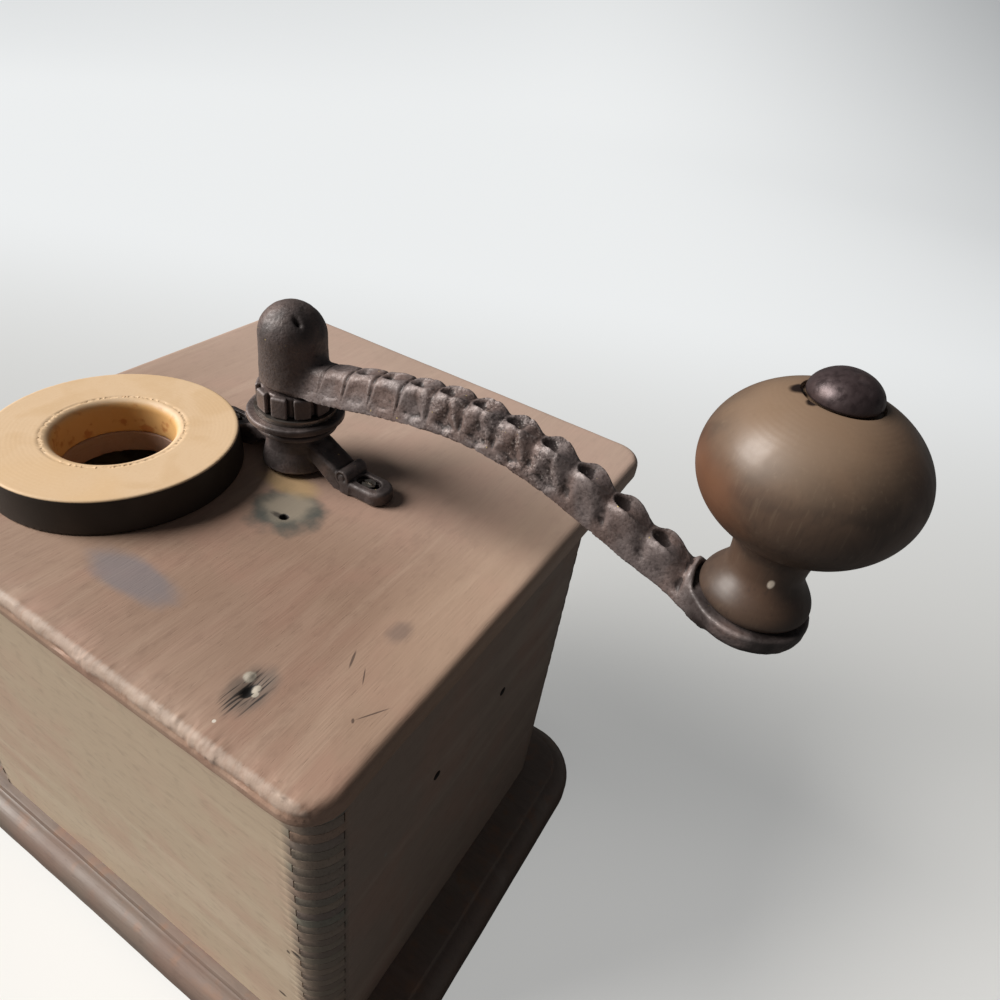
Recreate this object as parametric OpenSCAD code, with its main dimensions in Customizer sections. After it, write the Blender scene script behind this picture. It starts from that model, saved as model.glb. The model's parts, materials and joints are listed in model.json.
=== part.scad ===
// Wooden box coffee grinder with an iron crank, a turned knob and a drawer.
// Millimetres, +Z up. The origin is the centre of the case's plan, on the underside of the base.
// The crank points along -X at rest, the drawer opens towards -Y.

/* [Case] */
// Width of the case over its side walls
body_x = 161; // [150:1:175]
// Depth of the case from the drawer's face to the back wall
body_y = 125; // [115:1:140]
// Height of the walls above the base
case_h = 129; // [122:1:140]
// Thickness of the walls
wall_t = 7.6; // [6.4:0.2:9]
// Radius of the upright corners in plan
corner_r = 7.5; // [3:0.5:7.5]
// Height of one finger of the corner joints
finger_w = 3.5; // [3:0.1:4]
// Height of the first, short finger above the base
finger_first = 2.05; // [1:0.05:3]
// How many fingers high the drawer's opening is
opening_fingers = 16; // [12:2:16]
// Glue line between the fingers
glue_gap = 0.05; // [0.02:0.01:0.1]

/* [Base] */
// Thickness of the base board
base_h = 14; // [12:0.5:18]
// How far the base stands out beyond the side walls
base_side = 18; // [12:0.5:20]
// How far the base stands out beyond the back wall
base_back = 9.7; // [8:0.1:12]
// How far the base stands out beyond the drawer's side
base_front = 17.5; // [12:0.5:20]
// Plan radius of the base's corners
base_r = 22; // [18:1:26]
// Radius of the rounded upper edge of the base
base_round = 5.7; // [3:0.1:6]
// Depth of the quirk that sets the rounded edge off from the ledge
base_quirk = 1.6; // [1:0.1:2.5]
// How deep the base screws reach into the walls
base_screw_grip = 16; // [10:1:22]
// Distance of the side walls' screws from the case's middle
base_screw_y = 37.5; // [30:0.5:42]
// Distance of the back wall's screws from the case's middle
base_screw_x = 40; // [30:0.5:50]

/* [Top board] */
// Side of the square top board
top_side = 165; // [160:1:180]
// Thickness of the top board
top_t = 7; // [6:0.5:10]
// Plan radius of the top board's corners
top_r = 10; // [6:1:16]
// Rounding of the top board's upper edge
top_round = 2.6; // [1:0.2:3]
// Rounding of the top board's lower edge
top_under_round = 1.4; // [0.6:0.2:2]
// How far the top board stands out beyond the back wall
top_back_over = 3; // [1:0.5:8]

/* [Feed collar] */
// Distance of the feed hole's axis from the case's centre, across
feed_x = 37.2; // [34:0.1:44]
// Distance of the feed hole's axis from the case's centre, towards the back
feed_y = 14.6; // [10:0.1:20]
// Radius of the feed hole
feed_r = 15.5; // [14:0.1:18]
// Outer radius of the wooden collar at its foot
collar_r = 33.7; // [30:0.1:36]
// How much slimmer the collar is at its upper edge
collar_draw = 0.7; // [0:0.1:2]
// Height of the collar
collar_h = 10.5; // [9:0.5:16]
// Rounding of the collar's upper outer edge
collar_round = 0.7; // [0.5:0.1:3]
// Rounding of the lip of the feed hole
feed_lip = 2.6; // [1:0.1:5]

/* [Shaft] */
// Place of the shaft across the case
shaft_x = 0.9; // [-2:0.1:2]
// Place of the shaft towards the drawer's side
shaft_y = -18.8; // [-24:0.1:-16]
// Radius of the shaft
shaft_r = 5; // [4:0.1:5.5]
// Radial clearance of the turning fits
run_gap = 0.05; // [0.03:0.01:0.1]
// Pitch of the thread that the adjusting nut turns on
thread_pitch = 1.25; // [1:0.25:1.25]
// Side of the square end that the crank sits on
square_w = 7; // [6:0.1:7]
// Depth of the flat that keys the thrust washer
key_flat = 0.9; // [0.6:0.1:1.2]

/* [Bridge] */
// Distance of the bridge's foot end from the shaft
foot_end = 34.6; // [34:0.1:40]
// Width of the bridge
bridge_w = 9.2; // [8:0.2:12]
// Thickness of the bridge's feet
foot_t = 4.6; // [4:0.2:5.4]
// Length of the flat part of each foot
foot_len = 14; // [12:0.5:16]
// Height where the legs meet the neck
leg_top = 12; // [10:0.5:14]
// Thickness of the legs
leg_t = 5.5; // [4:0.5:7]
// Radius of the neck at the board
neck_foot_r = 10.6; // [9.6:0.2:12]
// Radius of the neck below the boss
neck_r = 9; // [8:0.2:9.6]
// Gap between the neck and the top board
neck_gap = 1.5; // [1:0.1:3]
// Radius of the ring round the neck, below the boss
ring_r = 12; // [10.4:0.2:13]
// Radius of the boss
boss_r = 14; // [12.5:0.1:15]
// Height of the boss's upper face above the top board
boss_top = 18.5; // [17.5:0.5:22]
// Thickness of the boss
boss_t = 2.5; // [1.5:0.5:3]
// Half the width of the screw slots in the feet
slot_r = 2.2; // [2:0.1:2.6]
// Length between the centres of a slot's round ends
slot_run = 3.6; // [1:0.1:4]
// Distance of a slot's centre from the shaft
slot_at = 27; // [26:0.5:28]
// Distance from the shaft to the tip of the leaf on the bridge's second leg
leaf_end = 22.8; // [20:0.2:22.8]

/* [Nut and washer] */
// Radius of the thrust washer
washer_r = 11.6; // [10:0.1:13]
// Thickness of the thrust washer
washer_t = 1.4; // [1.2:0.1:3]
// Radius of the adjusting nut
nut_r = 10.9; // [10:0.1:12]
// Height of the adjusting nut
nut_h = 6.35; // [5:0.05:7]
// Number of lobes round the nut
nut_lobes = 10; // [6:1:12]
// Width of a notch between two lobes
notch_w = 1.8; // [1.2:0.2:3]
// Depth of a notch
notch_d = 1.6; // [0.8:0.1:2]
// How many turns the nut makes each way from its middle setting
nut_turns = 0.48; // [0.3:0.02:0.48]

/* [Crank] */
// Distance from the shaft to the knob's axis
crank_r = 133.4; // [120:0.1:145]
// Radius of the hub
hub_r = 9.3; // [8.6:0.1:11]
// Height of the straight part of the hub
hub_h = 13.1; // [11:0.1:18]
// Height of the dome on the hub
hub_dome = 9.3; // [3:0.1:9.3]
// Half width of the arm at the hub
arm_half_w = 7; // [5.6:0.2:7.4]
// Half width of the arm at the knob
arm_end_half_w = 5; // [4.6:0.2:6.4]
// Height of the arm's section at the hub
arm_h = 9; // [7:0.5:12]
// Height of the arm's section at the knob
arm_end_h = 9.6; // [6:0.2:11]
// How far the arm's underside lies below the hub's end
arm_drop = 0.6; // [0:0.1:0.6]
// Distance of the arm's first bend handle from the shaft
arm_rise_at = 95.4; // [80:0.1:105]
// Height of the arm's first bend handle above its root
arm_rise = 18.2; // [10:0.1:22]
// Distance of the arm's second bend handle from the shaft
arm_fall_at = 76.3; // [66:0.1:90]
// How far the arm's second bend handle lies below its root
arm_fall = 3.5; // [-2:0.1:6]
// Radius of the round pad that carries the knob
pad_r = 13; // [11:0.5:15]
// Thickness of the pad
pad_t = 5.4; // [4:0.2:7]
// How far the pad's underside lies below the arm's root
pad_drop = 8.4; // [6:0.1:12]

/* [Knob] */
// Height of the knob's foot and neck below the ball's centre
ball_up = 33.9; // [30:0.1:38]
// Half width of the flattened ball
ball_a = 21.7; // [18:0.1:24]
// Half height of the flattened ball
ball_b = 17.2; // [15:0.1:18]
// Radius of the knob's foot at its widest place
knob_foot_r = 12.1; // [11:0.1:12.8]
// Height of that widest place above the foot's lower face
knob_foot_up = 2.2; // [1.5:0.1:4]
// How far the foot draws in towards its lower face
knob_foot_in = 1.2; // [0.5:0.1:2]
// Radius of the knob's neck
knob_neck_r = 8.2; // [7.6:0.1:10]
// Height of the neck above the foot's lower face
knob_neck_up = 10.5; // [9:0.5:14]
// Clearance between the knob's foot and the end of the arm
knob_side_gap = 0.8; // [0.5:0.1:1.5]
// Radius of the rivet that the knob turns on
rivet_r = 3.4; // [2.8:0.1:4]
// Radius of the rivet's domed head
rivet_head_r = 7; // [6:0.2:7.4]
// Height of the rivet's domed head
rivet_head_h = 5.6; // [4:0.2:7]
// Clearance above and below the knob
knob_gap = 0.3; // [0.2:0.05:0.5]

/* [Grinding works] */
// Height of the partition's middle above the base's underside
partition_z = 104.3; // [102:0.1:106]
// Thickness of the partition
partition_t = 8; // [6:0.5:9]
// Outer radius of the burr casing below its flange
casing_r = 28; // [26.5:0.5:29]
// Radius of the casing's flange
flange_r = 35; // [34:0.5:35]
// Thickness of the casing's flange
flange_t = 2.5; // [2:0.5:3]
// Height of the casing below the partition's top face
casing_h = 26.3; // [24:0.1:27]
// Radius of the casing's mouth
mouth_r = 24; // [22.6:0.2:24.4]
// Radius of the casing's throat, where the burr is narrowest
throat_r = 17.6; // [16:0.1:18]
// Radius of the casing's bore at its lower end
outlet_r = 21.4; // [20:0.1:21.6]
// Height of the throat above the casing's lower end
throat_up = 10; // [8:0.5:12]
// Gap between the cone and the burr at the middle setting
burr_gap = 0.5; // [0.4:0.05:0.8]
// Number of teeth on the burr and on the cone
burr_teeth = 18; // [12:1:24]
// Depth of the teeth
tooth_d = 1.2; // [0.8:0.1:1.6]
// Height of the cone's crown above the throat
crown_up = 15; // [10:0.5:18]
// Thickness of the bar that carries the shaft's lower end
bar_t = 4.5; // [3:0.5:4.5]
// Width of that bar
bar_w = 12; // [11.5:0.5:16]

/* [Bean funnel] */
// Thickness of the tin sheet
tin_t = 0.8; // [0.6:0.1:1.2]
// Height of the funnel's upright rim
funnel_rim = 8; // [6:0.5:10]
// Half the side of the funnel's square outlet
funnel_out = 21; // [19:0.5:22]

/* [Drawer] */
// Clearance beside the drawer
drawer_side_gap = 0.5; // [0.3:0.1:1]
// Clearance under and over the drawer
drawer_up_gap = 0.3; // [0.2:0.1:0.6]
// Thickness of the drawer's front
drawer_front_t = 9; // [8:0.5:12]
// Thickness of the drawer's sides and back
drawer_side_t = 6; // [5:0.5:7]
// Thickness of the drawer's bottom panel
drawer_bottom_t = 3.5; // [3:0.5:5]
// Height of the bottom panel above the drawer's lower edge
drawer_bottom_up = 4; // [3:0.5:6]
// Depth of the grooves for the bottom panel
groove_d = 2.5; // [2:0.5:3]
// Radius of the drawer's turned knob
drawer_knob_r = 9; // [7:0.5:12]
// Length of the drawer's turned knob
drawer_knob_l = 18; // [14:0.5:24]

/* [Hidden] */
$fn = 48;
// Small overlap that lets a cutter pass through a face
eps = 0.01;
// Gap round nails, pins and screws
pin_gap = 0.03;
// Gap between flat faces that move past each other
face_gap = 0.05;
in_x = body_x / 2 - wall_t;
in_y = body_y / 2 - wall_t;
case_top = base_h + case_h;
top_z = case_top + top_t;
top_y = body_y / 2 + top_back_over - top_side / 2;
finger_z = base_h + finger_first;
finger_rows = ceil((case_h - finger_first) / finger_w);
opening_z = finger_z + opening_fingers * finger_w;
boss_z = top_z + boss_top;
washer_z = boss_z + face_gap;
nut_z = washer_z + washer_t + face_gap;
nut_top = nut_z + nut_h;
lift = thread_pitch * nut_turns;
arm_z = nut_top + lift + 0.3;
hub_z = arm_z + arm_drop;
hub_top = hub_z + hub_h;
socket_top = hub_top - 1;
socket_gap = 0.05;
pad_z = arm_z - pad_drop;
pad_top = pad_z + pad_t;
knob_z = pad_top + knob_gap;
ball_z = knob_z + ball_up;
seat_r = rivet_head_r + 0.6;
seat_z = ball_z + ball_b * sqrt(1 - pow(seat_r / ball_a, 2)) - 0.6;
head_z = seat_z + knob_gap;
partition_top = partition_z + partition_t / 2;
casing_z = partition_top - casing_h;
flange_top = partition_top + flange_t;
throat_z = casing_z + throat_up;
bar_z = casing_z - bar_t;
cone_z = casing_z + lift + 0.2;
crown_z = throat_z + crown_up;
flare = (outlet_r - throat_r) / throat_up;
pin_z = throat_z + 4;
wire_r = 1.5;
funnel_z = flange_top + 0.1;
funnel_gap = 0.3;
nail_r = 0.9;
nail_head_r = 1.4;
nail_head_t = 1;
partition_nail_y = [18, -16.2];
base_screw_l = base_h + base_screw_grip;
tack_y = 35;
tack_l = 5.5;
bar_screw_in = 3.3;
curl_r = 2.4;
screw_r = 1.9;
screw_head_r = 3.8;
screw_head_t = 2.4;
screw_rim = 0.3;
slot_w = 0.7;
slot_d = 0.6;
bridge_screw_r = 1.3;
bridge_screw_head_r = slot_r - 0.2;
bridge_screw_l = 11;
slot_step = 2.2;
drawer_w = 2 * in_x - 2 * drawer_side_gap;
drawer_z = base_h + drawer_up_gap;
drawer_h = opening_z - drawer_up_gap - drawer_z;
drawer_y0 = -body_y / 2;
drawer_y1 = in_y - 0.8;
lip_t = drawer_front_t - 5;
rebate_y = drawer_y0 + lip_t;
inner_w = drawer_w / 2 - drawer_side_t;
drawer_mid_z = drawer_z + drawer_h / 2;
neck_l = 5;

// Points on a quarter or other stretch of an ellipse
function arc(cx, cz, rx, rz, a0, a1, n) =
    [for (i = [0:n]) [cx + rx * cos(a0 + (a1 - a0) * i / n), cz + rz * sin(a0 + (a1 - a0) * i / n)]];

// Rectangle with round corners, from straight pieces and circles
module round_rect(w, d, r) {
    square([w - 2 * r, d], center = true);
    square([w, d - 2 * r], center = true);
    for (sx = [-1, 1], sy = [-1, 1])
        translate([sx * (w / 2 - r), sy * (d / 2 - r)])
            circle(r);
}

// Board whose edge follows a profile, which runs from the corner's centre outwards
module edged_board(w, d, r, profile, h) {
    wx = w / 2 - r;
    dy = d / 2 - r;
    for (sx = [-1, 1], sy = [-1, 1])
        translate([sx * wx, sy * dy, 0])
            rotate_extrude()
                polygon(profile);
    for (a = [0, 180])
        rotate([0, 0, a]) {
            translate([wx, 0, 0])
                rotate([90, 0, 0])
                    linear_extrude(height = 2 * dy, center = true)
                        polygon(profile);
            translate([0, dy, 0])
                rotate([90, 0, 90])
                    linear_extrude(height = 2 * wx, center = true)
                        polygon(profile);
        }
    translate([-wx, -dy, 0])
        cube([2 * wx, 2 * dy, h]);
}

// Solid of the case's outline, from which each wall is cut
module case_block(z0, z1) {
    translate([0, 0, z0])
        linear_extrude(height = z1 - z0)
            round_rect(body_x, body_y, corner_r);
}

// Rows of fingers at one upright corner, every second row from the given one
module finger_rows_at(sx, sy, first, grow, z_from, z_to) {
    for (k = [first:2:finger_rows]) {
        z0 = finger_z + k * finger_w;
        z1 = z0 + finger_w;
        low = max(z0 - grow, z_from);
        high = min(z1 + grow, z_to + eps);
        if (high > low && z1 > z_from && z0 < z_to)
            translate([sx > 0 ? in_x - glue_gap : -body_x / 2 - 1,
                    sy > 0 ? in_y - glue_gap : -body_y / 2 - 1, low])
                cube([wall_t + 1 + glue_gap, wall_t + 1 + glue_gap, high - low]);
    }
}

// Nail along +X with its head's face at x = 0
module nail(l, r, head_r, head_t) {
    rotate([0, 90, 0]) {
        translate([0, 0, -head_t])
            cylinder(r = head_r, h = head_t);
        translate([0, 0, -l])
            cylinder(r = r, h = l - head_t + eps);
    }
}

// Countersunk wood screw that points along -Z, with its head's face at z = 0
module wood_screw(l, r, head_r, head_t, gap) {
    difference() {
        union() {
            translate([0, 0, -head_t])
                cylinder(r1 = r + gap, r2 = head_r + gap, h = head_t - screw_rim);
            translate([0, 0, -screw_rim - eps])
                cylinder(r = head_r + gap, h = screw_rim + eps);
            translate([0, 0, -l - gap])
                cylinder(r = r + gap, h = l - head_t + gap + eps);
        }
        if (gap == 0)
            translate([-2 * head_r, -slot_w / 2, -slot_d])
                cube([4 * head_r, slot_w, 2 * slot_d]);
    }
}

// Places of the screws that come up through the base
base_screw_at = [for (sx = [-1, 1], sy = [-1, 1]) [sx * (body_x - wall_t) / 2, sy * base_screw_y],
    for (sx = [-1, 1]) [sx * base_screw_x, (body_y - wall_t) / 2]];

module base_screw_set(gap) {
    for (p = base_screw_at)
        translate([p[0], p[1], 0])
            mirror([0, 0, 1])
                wood_screw(base_screw_l, screw_r, screw_head_r, screw_head_t, gap);
}

module base_board() {
    edge_z = base_h - base_quirk;
    base_y = (base_back - base_front) / 2;
    edge = concat([[0, 0], [base_r - 1, 0], [base_r, 1]],
        arc(base_r - base_round, edge_z - base_round, base_round, base_round, 0, 90, 10),
        [[base_r - base_round - 1.2, edge_z], [base_r - base_round - 2, base_h], [0, base_h]]);
    color("#5a4034")
        difference() {
            translate([0, base_y, 0])
                edged_board(body_x + 2 * base_side, body_y + base_back + base_front, base_r, edge, base_h);
            base_screw_set(pin_gap);
        }
}

module base_screws() {
    color("#6a6661")
        base_screw_set(0);
}

module back_wall() {
    color("#9a8a73")
        difference() {
            intersection() {
                case_block(base_h, case_top);
                translate([-body_x, in_y, 0])
                    cube([2 * body_x, body_y, 2 * case_top]);
            }
            for (sx = [-1, 1])
                finger_rows_at(sx, 1, -1, glue_gap, base_h - eps, case_top);
            base_screw_set(pin_gap);
        }
}

module front_rail() {
    color("#8f7e69")
        difference() {
            intersection() {
                case_block(opening_z, case_top);
                translate([-body_x, -in_y - body_y, 0])
                    cube([2 * body_x, body_y, 2 * case_top]);
            }
            for (sx = [-1, 1])
                finger_rows_at(sx, -1, 1, glue_gap, opening_z - eps, case_top);
        }
}

// A side wall; s is 1 on +X and -1 on -X
module side_wall(s) {
    difference() {
        intersection() {
            case_block(base_h, case_top);
            translate([s > 0 ? in_x : -in_x - body_x, -body_y, 0])
                cube([body_x, 2 * body_y, 2 * case_top]);
        }
        finger_rows_at(s, 1, 0, 0, base_h - eps, case_top);
        finger_rows_at(s, -1, opening_fingers, 0, opening_z, case_top);
        partition_nail_set(pin_gap, [s]);
        funnel_tack_set(pin_gap);
        base_screw_set(pin_gap);
    }
}

module left_wall() {
    color("#8f7e69")
        side_wall(1);
}

module right_wall() {
    color("#8f7e69")
        side_wall(-1);
}

module partition_nail_set(gap, sides) {
    for (s = sides, y = partition_nail_y)
        translate([s * body_x / 2, y, partition_z])
            rotate([0, 0, s > 0 ? 0 : 180])
                nail(wall_t + 16, nail_r + gap, nail_head_r + gap, nail_head_t + (gap > 0 ? eps : 0));
}

module partition_nails() {
    color("#4b4743")
        partition_nail_set(0, [-1, 1]);
}

module partition_board() {
    color("#a58a66")
        difference() {
            translate([-in_x + glue_gap, -in_y + glue_gap, partition_z - partition_t / 2])
                cube([2 * (in_x - glue_gap), 2 * (in_y - glue_gap), partition_t]);
            translate([shaft_x, shaft_y, 0])
                cylinder(r = casing_r + 0.4, h = 2 * partition_z);
            partition_nail_set(pin_gap, [-1, 1]);
            casing_screw_set(pin_gap);
        }
}

// The bridge's screw slots reach into the top board as plain pilot holes
module bridge_screw_set(gap) {
    for (s = [-1, 1])
        translate([shaft_x + s * slot_at, shaft_y, top_z + foot_t - slot_step + 1.6])
            wood_screw(bridge_screw_l, bridge_screw_r, bridge_screw_head_r, 1.6, gap);
}

module top_board() {
    edge = concat([[0, 0]],
        arc(top_r - top_under_round, top_under_round, top_under_round, top_under_round, -90, 0, 4),
        arc(top_r - top_round, top_t - top_round, top_round, top_round, 0, 90, 5),
        [[0, top_t]]);
    color("#a08672")
        difference() {
            translate([0, top_y, case_top])
                edged_board(top_side, top_side, top_r, edge, top_t);
            translate([feed_x, feed_y, case_top - 1])
                cylinder(r = feed_r, h = top_t + 2);
            translate([shaft_x, shaft_y, case_top - 1])
                cylinder(r = shaft_r + 2.5, h = top_t + 2);
            bridge_screw_set(pin_gap);
        }
}

// Turned collar; a pocket under it clears the foot of the bridge
module feed_collar() {
    rim_r = collar_r - collar_draw;
    profile = concat([[feed_r, 0], [collar_r - 0.4, 0], [collar_r, 0.4]],
        arc(rim_r - collar_round, collar_h - collar_round, collar_round, collar_round, 0, 90, 4),
        arc(feed_r + feed_lip, collar_h - feed_lip, feed_lip, feed_lip, 90, 180, 5));
    pocket_r = bridge_w / 2 + 0.8;
    pocket_h = 1 + foot_t + curl_r + 1;
    color("#c9a877")
        difference() {
            translate([feed_x, feed_y, top_z])
                rotate_extrude()
                    polygon(profile);
            translate([shaft_x, shaft_y - pocket_r, top_z - 1])
                cube([foot_end - bridge_w / 2, 2 * pocket_r, pocket_h]);
            translate([shaft_x + foot_end - bridge_w / 2, shaft_y, top_z - 1])
                cylinder(r = pocket_r, h = pocket_h);
        }
}

// Slot with round ends along X
module slot_cut(r, run, h) {
    for (s = [-1, 1])
        translate([s * run / 2, 0, 0])
            cylinder(r = r, h = h);
    translate([-run / 2, -r, 0])
        cube([run, 2 * r, h]);
}

module bridge_leg() {
    inner = foot_end - foot_len;
    leg = [[inner + 1, 0], [inner + 1, foot_t], [neck_r - 2, leg_top], [neck_r - 2, leg_top - leg_t],
        [inner - 4, 0]];
    translate([0, bridge_w / 2, 0])
        rotate([90, 0, 0])
            linear_extrude(height = bridge_w)
                polygon(leg);
    translate([inner, -bridge_w / 2, 0])
        cube([foot_len - bridge_w / 2, bridge_w, foot_t]);
    translate([foot_end - bridge_w / 2, 0, 0])
        cylinder(r = bridge_w / 2, h = foot_t);
}

// Rolled scroll between the leg and the slot of the foot on -X
module bridge_scroll() {
    translate([foot_len - foot_end, 0, foot_t + 0.4])
        rotate([90, 0, 0])
            cylinder(r = curl_r, h = bridge_w, center = true);
}

// Pointed leaf that runs out from the neck over the foot on +X
module bridge_leaf() {
    side = [[neck_r - 2, 5], [neck_r - 2, 10.4], [leaf_end - 12, 10.1], [leaf_end - 6, 9.2], [leaf_end, 7.6],
        [leaf_end - 6, 7], [leaf_end - 10, 5]];
    half = [[0, 4.4], [leaf_end - 8, 3.6], [leaf_end, 0.8]];
    plan = concat(half, [for (i = [2:-1:0]) [half[i][0], -half[i][1]]]);
    intersection() {
        rotate([90, 0, 0])
            linear_extrude(height = bridge_w, center = true)
                polygon(side);
        linear_extrude(height = boss_top)
            polygon(plan);
    }
}

module bridge() {
    boss_z0 = boss_top - boss_t;
    ring_z = boss_z0 - 4;
    neck = concat([[0, neck_gap], [neck_foot_r, neck_gap]],
        [[neck_foot_r - 0.8, neck_gap + 3], [neck_r, neck_gap + 6], [neck_r, ring_z], [ring_r, ring_z + 1]],
        [[ring_r, ring_z + 3], [ring_r - 0.6, boss_z0], [boss_r, boss_z0 + 0.4], [boss_r, boss_top - 0.5]],
        [[boss_r - 0.5, boss_top], [0, boss_top]]);
    color("#4c4240")
        translate([shaft_x, shaft_y, top_z])
            difference() {
                union() {
                    bridge_leg();
                    rotate([0, 0, 180])
                        bridge_leg();
                    bridge_scroll();
                    bridge_leaf();
                    rotate_extrude()
                        polygon(neck);
                }
                cylinder(r = shaft_r + run_gap, h = 3 * boss_top, center = true);
                for (s = [-1, 1])
                    translate([s * slot_at, 0, 0]) {
                        translate([0, 0, -1])
                            slot_cut(bridge_screw_r + 0.3, slot_run, foot_t);
                        translate([0, 0, foot_t - slot_step])
                            slot_cut(slot_r, slot_run, 4 * slot_step);
                    }
            }
}

module bridge_screws() {
    color("#77706a")
        bridge_screw_set(0);
}

// Outline of the shaft with the flat that keys the washer
module keyed_outline(gap) {
    intersection() {
        circle(shaft_r + gap);
        translate([-2 * shaft_r, -2 * shaft_r])
            square([4 * shaft_r, 3 * shaft_r - key_flat + gap]);
    }
}

module thrust_washer() {
    color("#6b6462")
        translate([shaft_x, shaft_y, washer_z])
            linear_extrude(height = washer_t)
                difference() {
                    circle(washer_r);
                    keyed_outline(run_gap);
                }
}

module adjusting_nut() {
    lobe = [[0, 0], [nut_r - 0.4, 0], [nut_r, 0.5], [nut_r, nut_h - 0.7], [nut_r - 0.7, nut_h], [0, nut_h]];
    color("#453c3a")
        translate([shaft_x, shaft_y, nut_z])
            difference() {
                rotate_extrude()
                    polygon(lobe);
                for (i = [0:nut_lobes - 1])
                    rotate([0, 0, (i + 0.5) * 360 / nut_lobes])
                        translate([nut_r - notch_d, -notch_w / 2, -1])
                            cube([2 * notch_d, notch_w, nut_h + 2]);
                translate([0, 0, -1])
                    cylinder(r = shaft_r + run_gap, h = nut_h + 2);
            }
}

// Steel shaft: round, with the washer's flat and the crank's square end
module spindle() {
    key_z0 = washer_z - lift - 0.5;
    key_z1 = nut_z + lift + 0.5;
    color("#6e6865")
        translate([shaft_x, shaft_y, 0])
            difference() {
                union() {
                    translate([0, 0, bar_z - 0.8])
                        cylinder(r = shaft_r, h = key_z0 - bar_z + 0.8);
                    translate([0, 0, key_z0])
                        linear_extrude(height = key_z1 - key_z0)
                            keyed_outline(0);
                    translate([0, 0, key_z1])
                        cylinder(r = shaft_r, h = hub_z - key_z1);
                    translate([-square_w / 2, -square_w / 2, hub_z])
                        cube([square_w, square_w, socket_top - 0.3 - hub_z]);
                }
                cone_pin_shape(pin_gap);
            }
}

module cone_pin_shape(gap) {
    translate([0, 0, pin_z])
        rotate([90, 0, 0])
            cylinder(r = wire_r + gap, h = 2 * shaft_r + 8 + 2 * gap, center = true);
}

module cone_pin() {
    color("#8a837c")
        translate([shaft_x, shaft_y, 0])
            cone_pin_shape(0);
}

// Toothed cone; its lower stretch is parallel to the burr's flare
module grinding_cone() {
    low_r = throat_r + flare * (throat_z - cone_z) - burr_gap;
    top_r = throat_r - burr_gap;
    body = [[0, cone_z], [low_r, cone_z], [top_r, throat_z], [top_r - 6, crown_z - 3],
        [shaft_r + 2.5, crown_z], [0, crown_z]];
    color("#5d5654")
        translate([shaft_x, shaft_y, 0])
            difference() {
                rotate_extrude()
                    polygon(body);
                for (i = [0:burr_teeth - 1])
                    rotate([0, 0, i * 360 / burr_teeth])
                        translate([low_r, 0, cone_z])
                            rotate([0, -atan(flare), 0])
                                cube([2 * tooth_d, 1.4, 1.6 * throat_up], center = true);
                cylinder(r = shaft_r + pin_gap, h = 3 * crown_z, center = true);
                cone_pin_shape(pin_gap);
            }
}

module casing_screw_set(gap) {
    screws_r = (flange_r + casing_r) / 2;
    for (a = [45, 135, 225, 315])
        translate([shaft_x + screws_r * cos(a), shaft_y + screws_r * sin(a), flange_top])
            wood_screw(partition_t + flange_t - 2, 1.3, 2.5, 1.4, gap);
}

module casing_screws() {
    color("#77706a")
        casing_screw_set(0);
}

module bar_screw_set(gap) {
    for (s = [-1, 1])
        translate([shaft_x + s * (casing_r - bar_screw_in), shaft_y, bar_z])
            mirror([0, 0, 1])
                wood_screw(bar_t + 7, 1.4, 2.4, 1.4, gap);
}

// Cast casing: flange on the partition, funnel mouth, toothed burr and outlet
module burr_casing() {
    shell = [[mouth_r, flange_top], [flange_r, flange_top], [flange_r, partition_top],
        [casing_r, partition_top], [casing_r - 0.4, casing_z], [outlet_r, casing_z],
        [throat_r, throat_z], [throat_r + 2, throat_z + 4]];
    color("#554b48")
        difference() {
            translate([shaft_x, shaft_y, 0])
                difference() {
                    rotate_extrude()
                        polygon(shell);
                    for (i = [0:burr_teeth - 1])
                        rotate([0, 0, (i + 0.5) * 360 / burr_teeth])
                            translate([outlet_r, 0, casing_z])
                                rotate([0, -atan(flare), 0])
                                    cube([2 * tooth_d, 1.4, 1.6 * throat_up], center = true);
                }
            casing_screw_set(pin_gap);
            bar_screw_set(pin_gap);
        }
}

module bearing_bar() {
    color("#554b48")
        difference() {
            translate([shaft_x, shaft_y, bar_z])
                intersection() {
                    translate([-casing_r, -bar_w / 2, 0])
                        cube([2 * casing_r, bar_w, bar_t]);
                    cylinder(r = casing_r - 0.4, h = bar_t);
                }
            translate([shaft_x, shaft_y, 0])
                cylinder(r = shaft_r + run_gap, h = 2 * casing_z);
            bar_screw_set(pin_gap);
        }
}

module bearing_bar_screws() {
    color("#77706a")
        bar_screw_set(0);
}

// Square frustum from a lower to an upper rectangle, each given as [x0, x1, y0, y1]
module frustum(low, z0, high, z1) {
    corners = function (b, z) [[b[0], b[2], z], [b[1], b[2], z], [b[1], b[3], z], [b[0], b[3], z]];
    polyhedron(concat(corners(low, z0), corners(high, z1)),
        [[0, 1, 2, 3], [4, 7, 6, 5], [0, 4, 5, 1], [1, 5, 6, 2], [2, 6, 7, 3], [3, 7, 4, 0]]);
}

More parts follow.
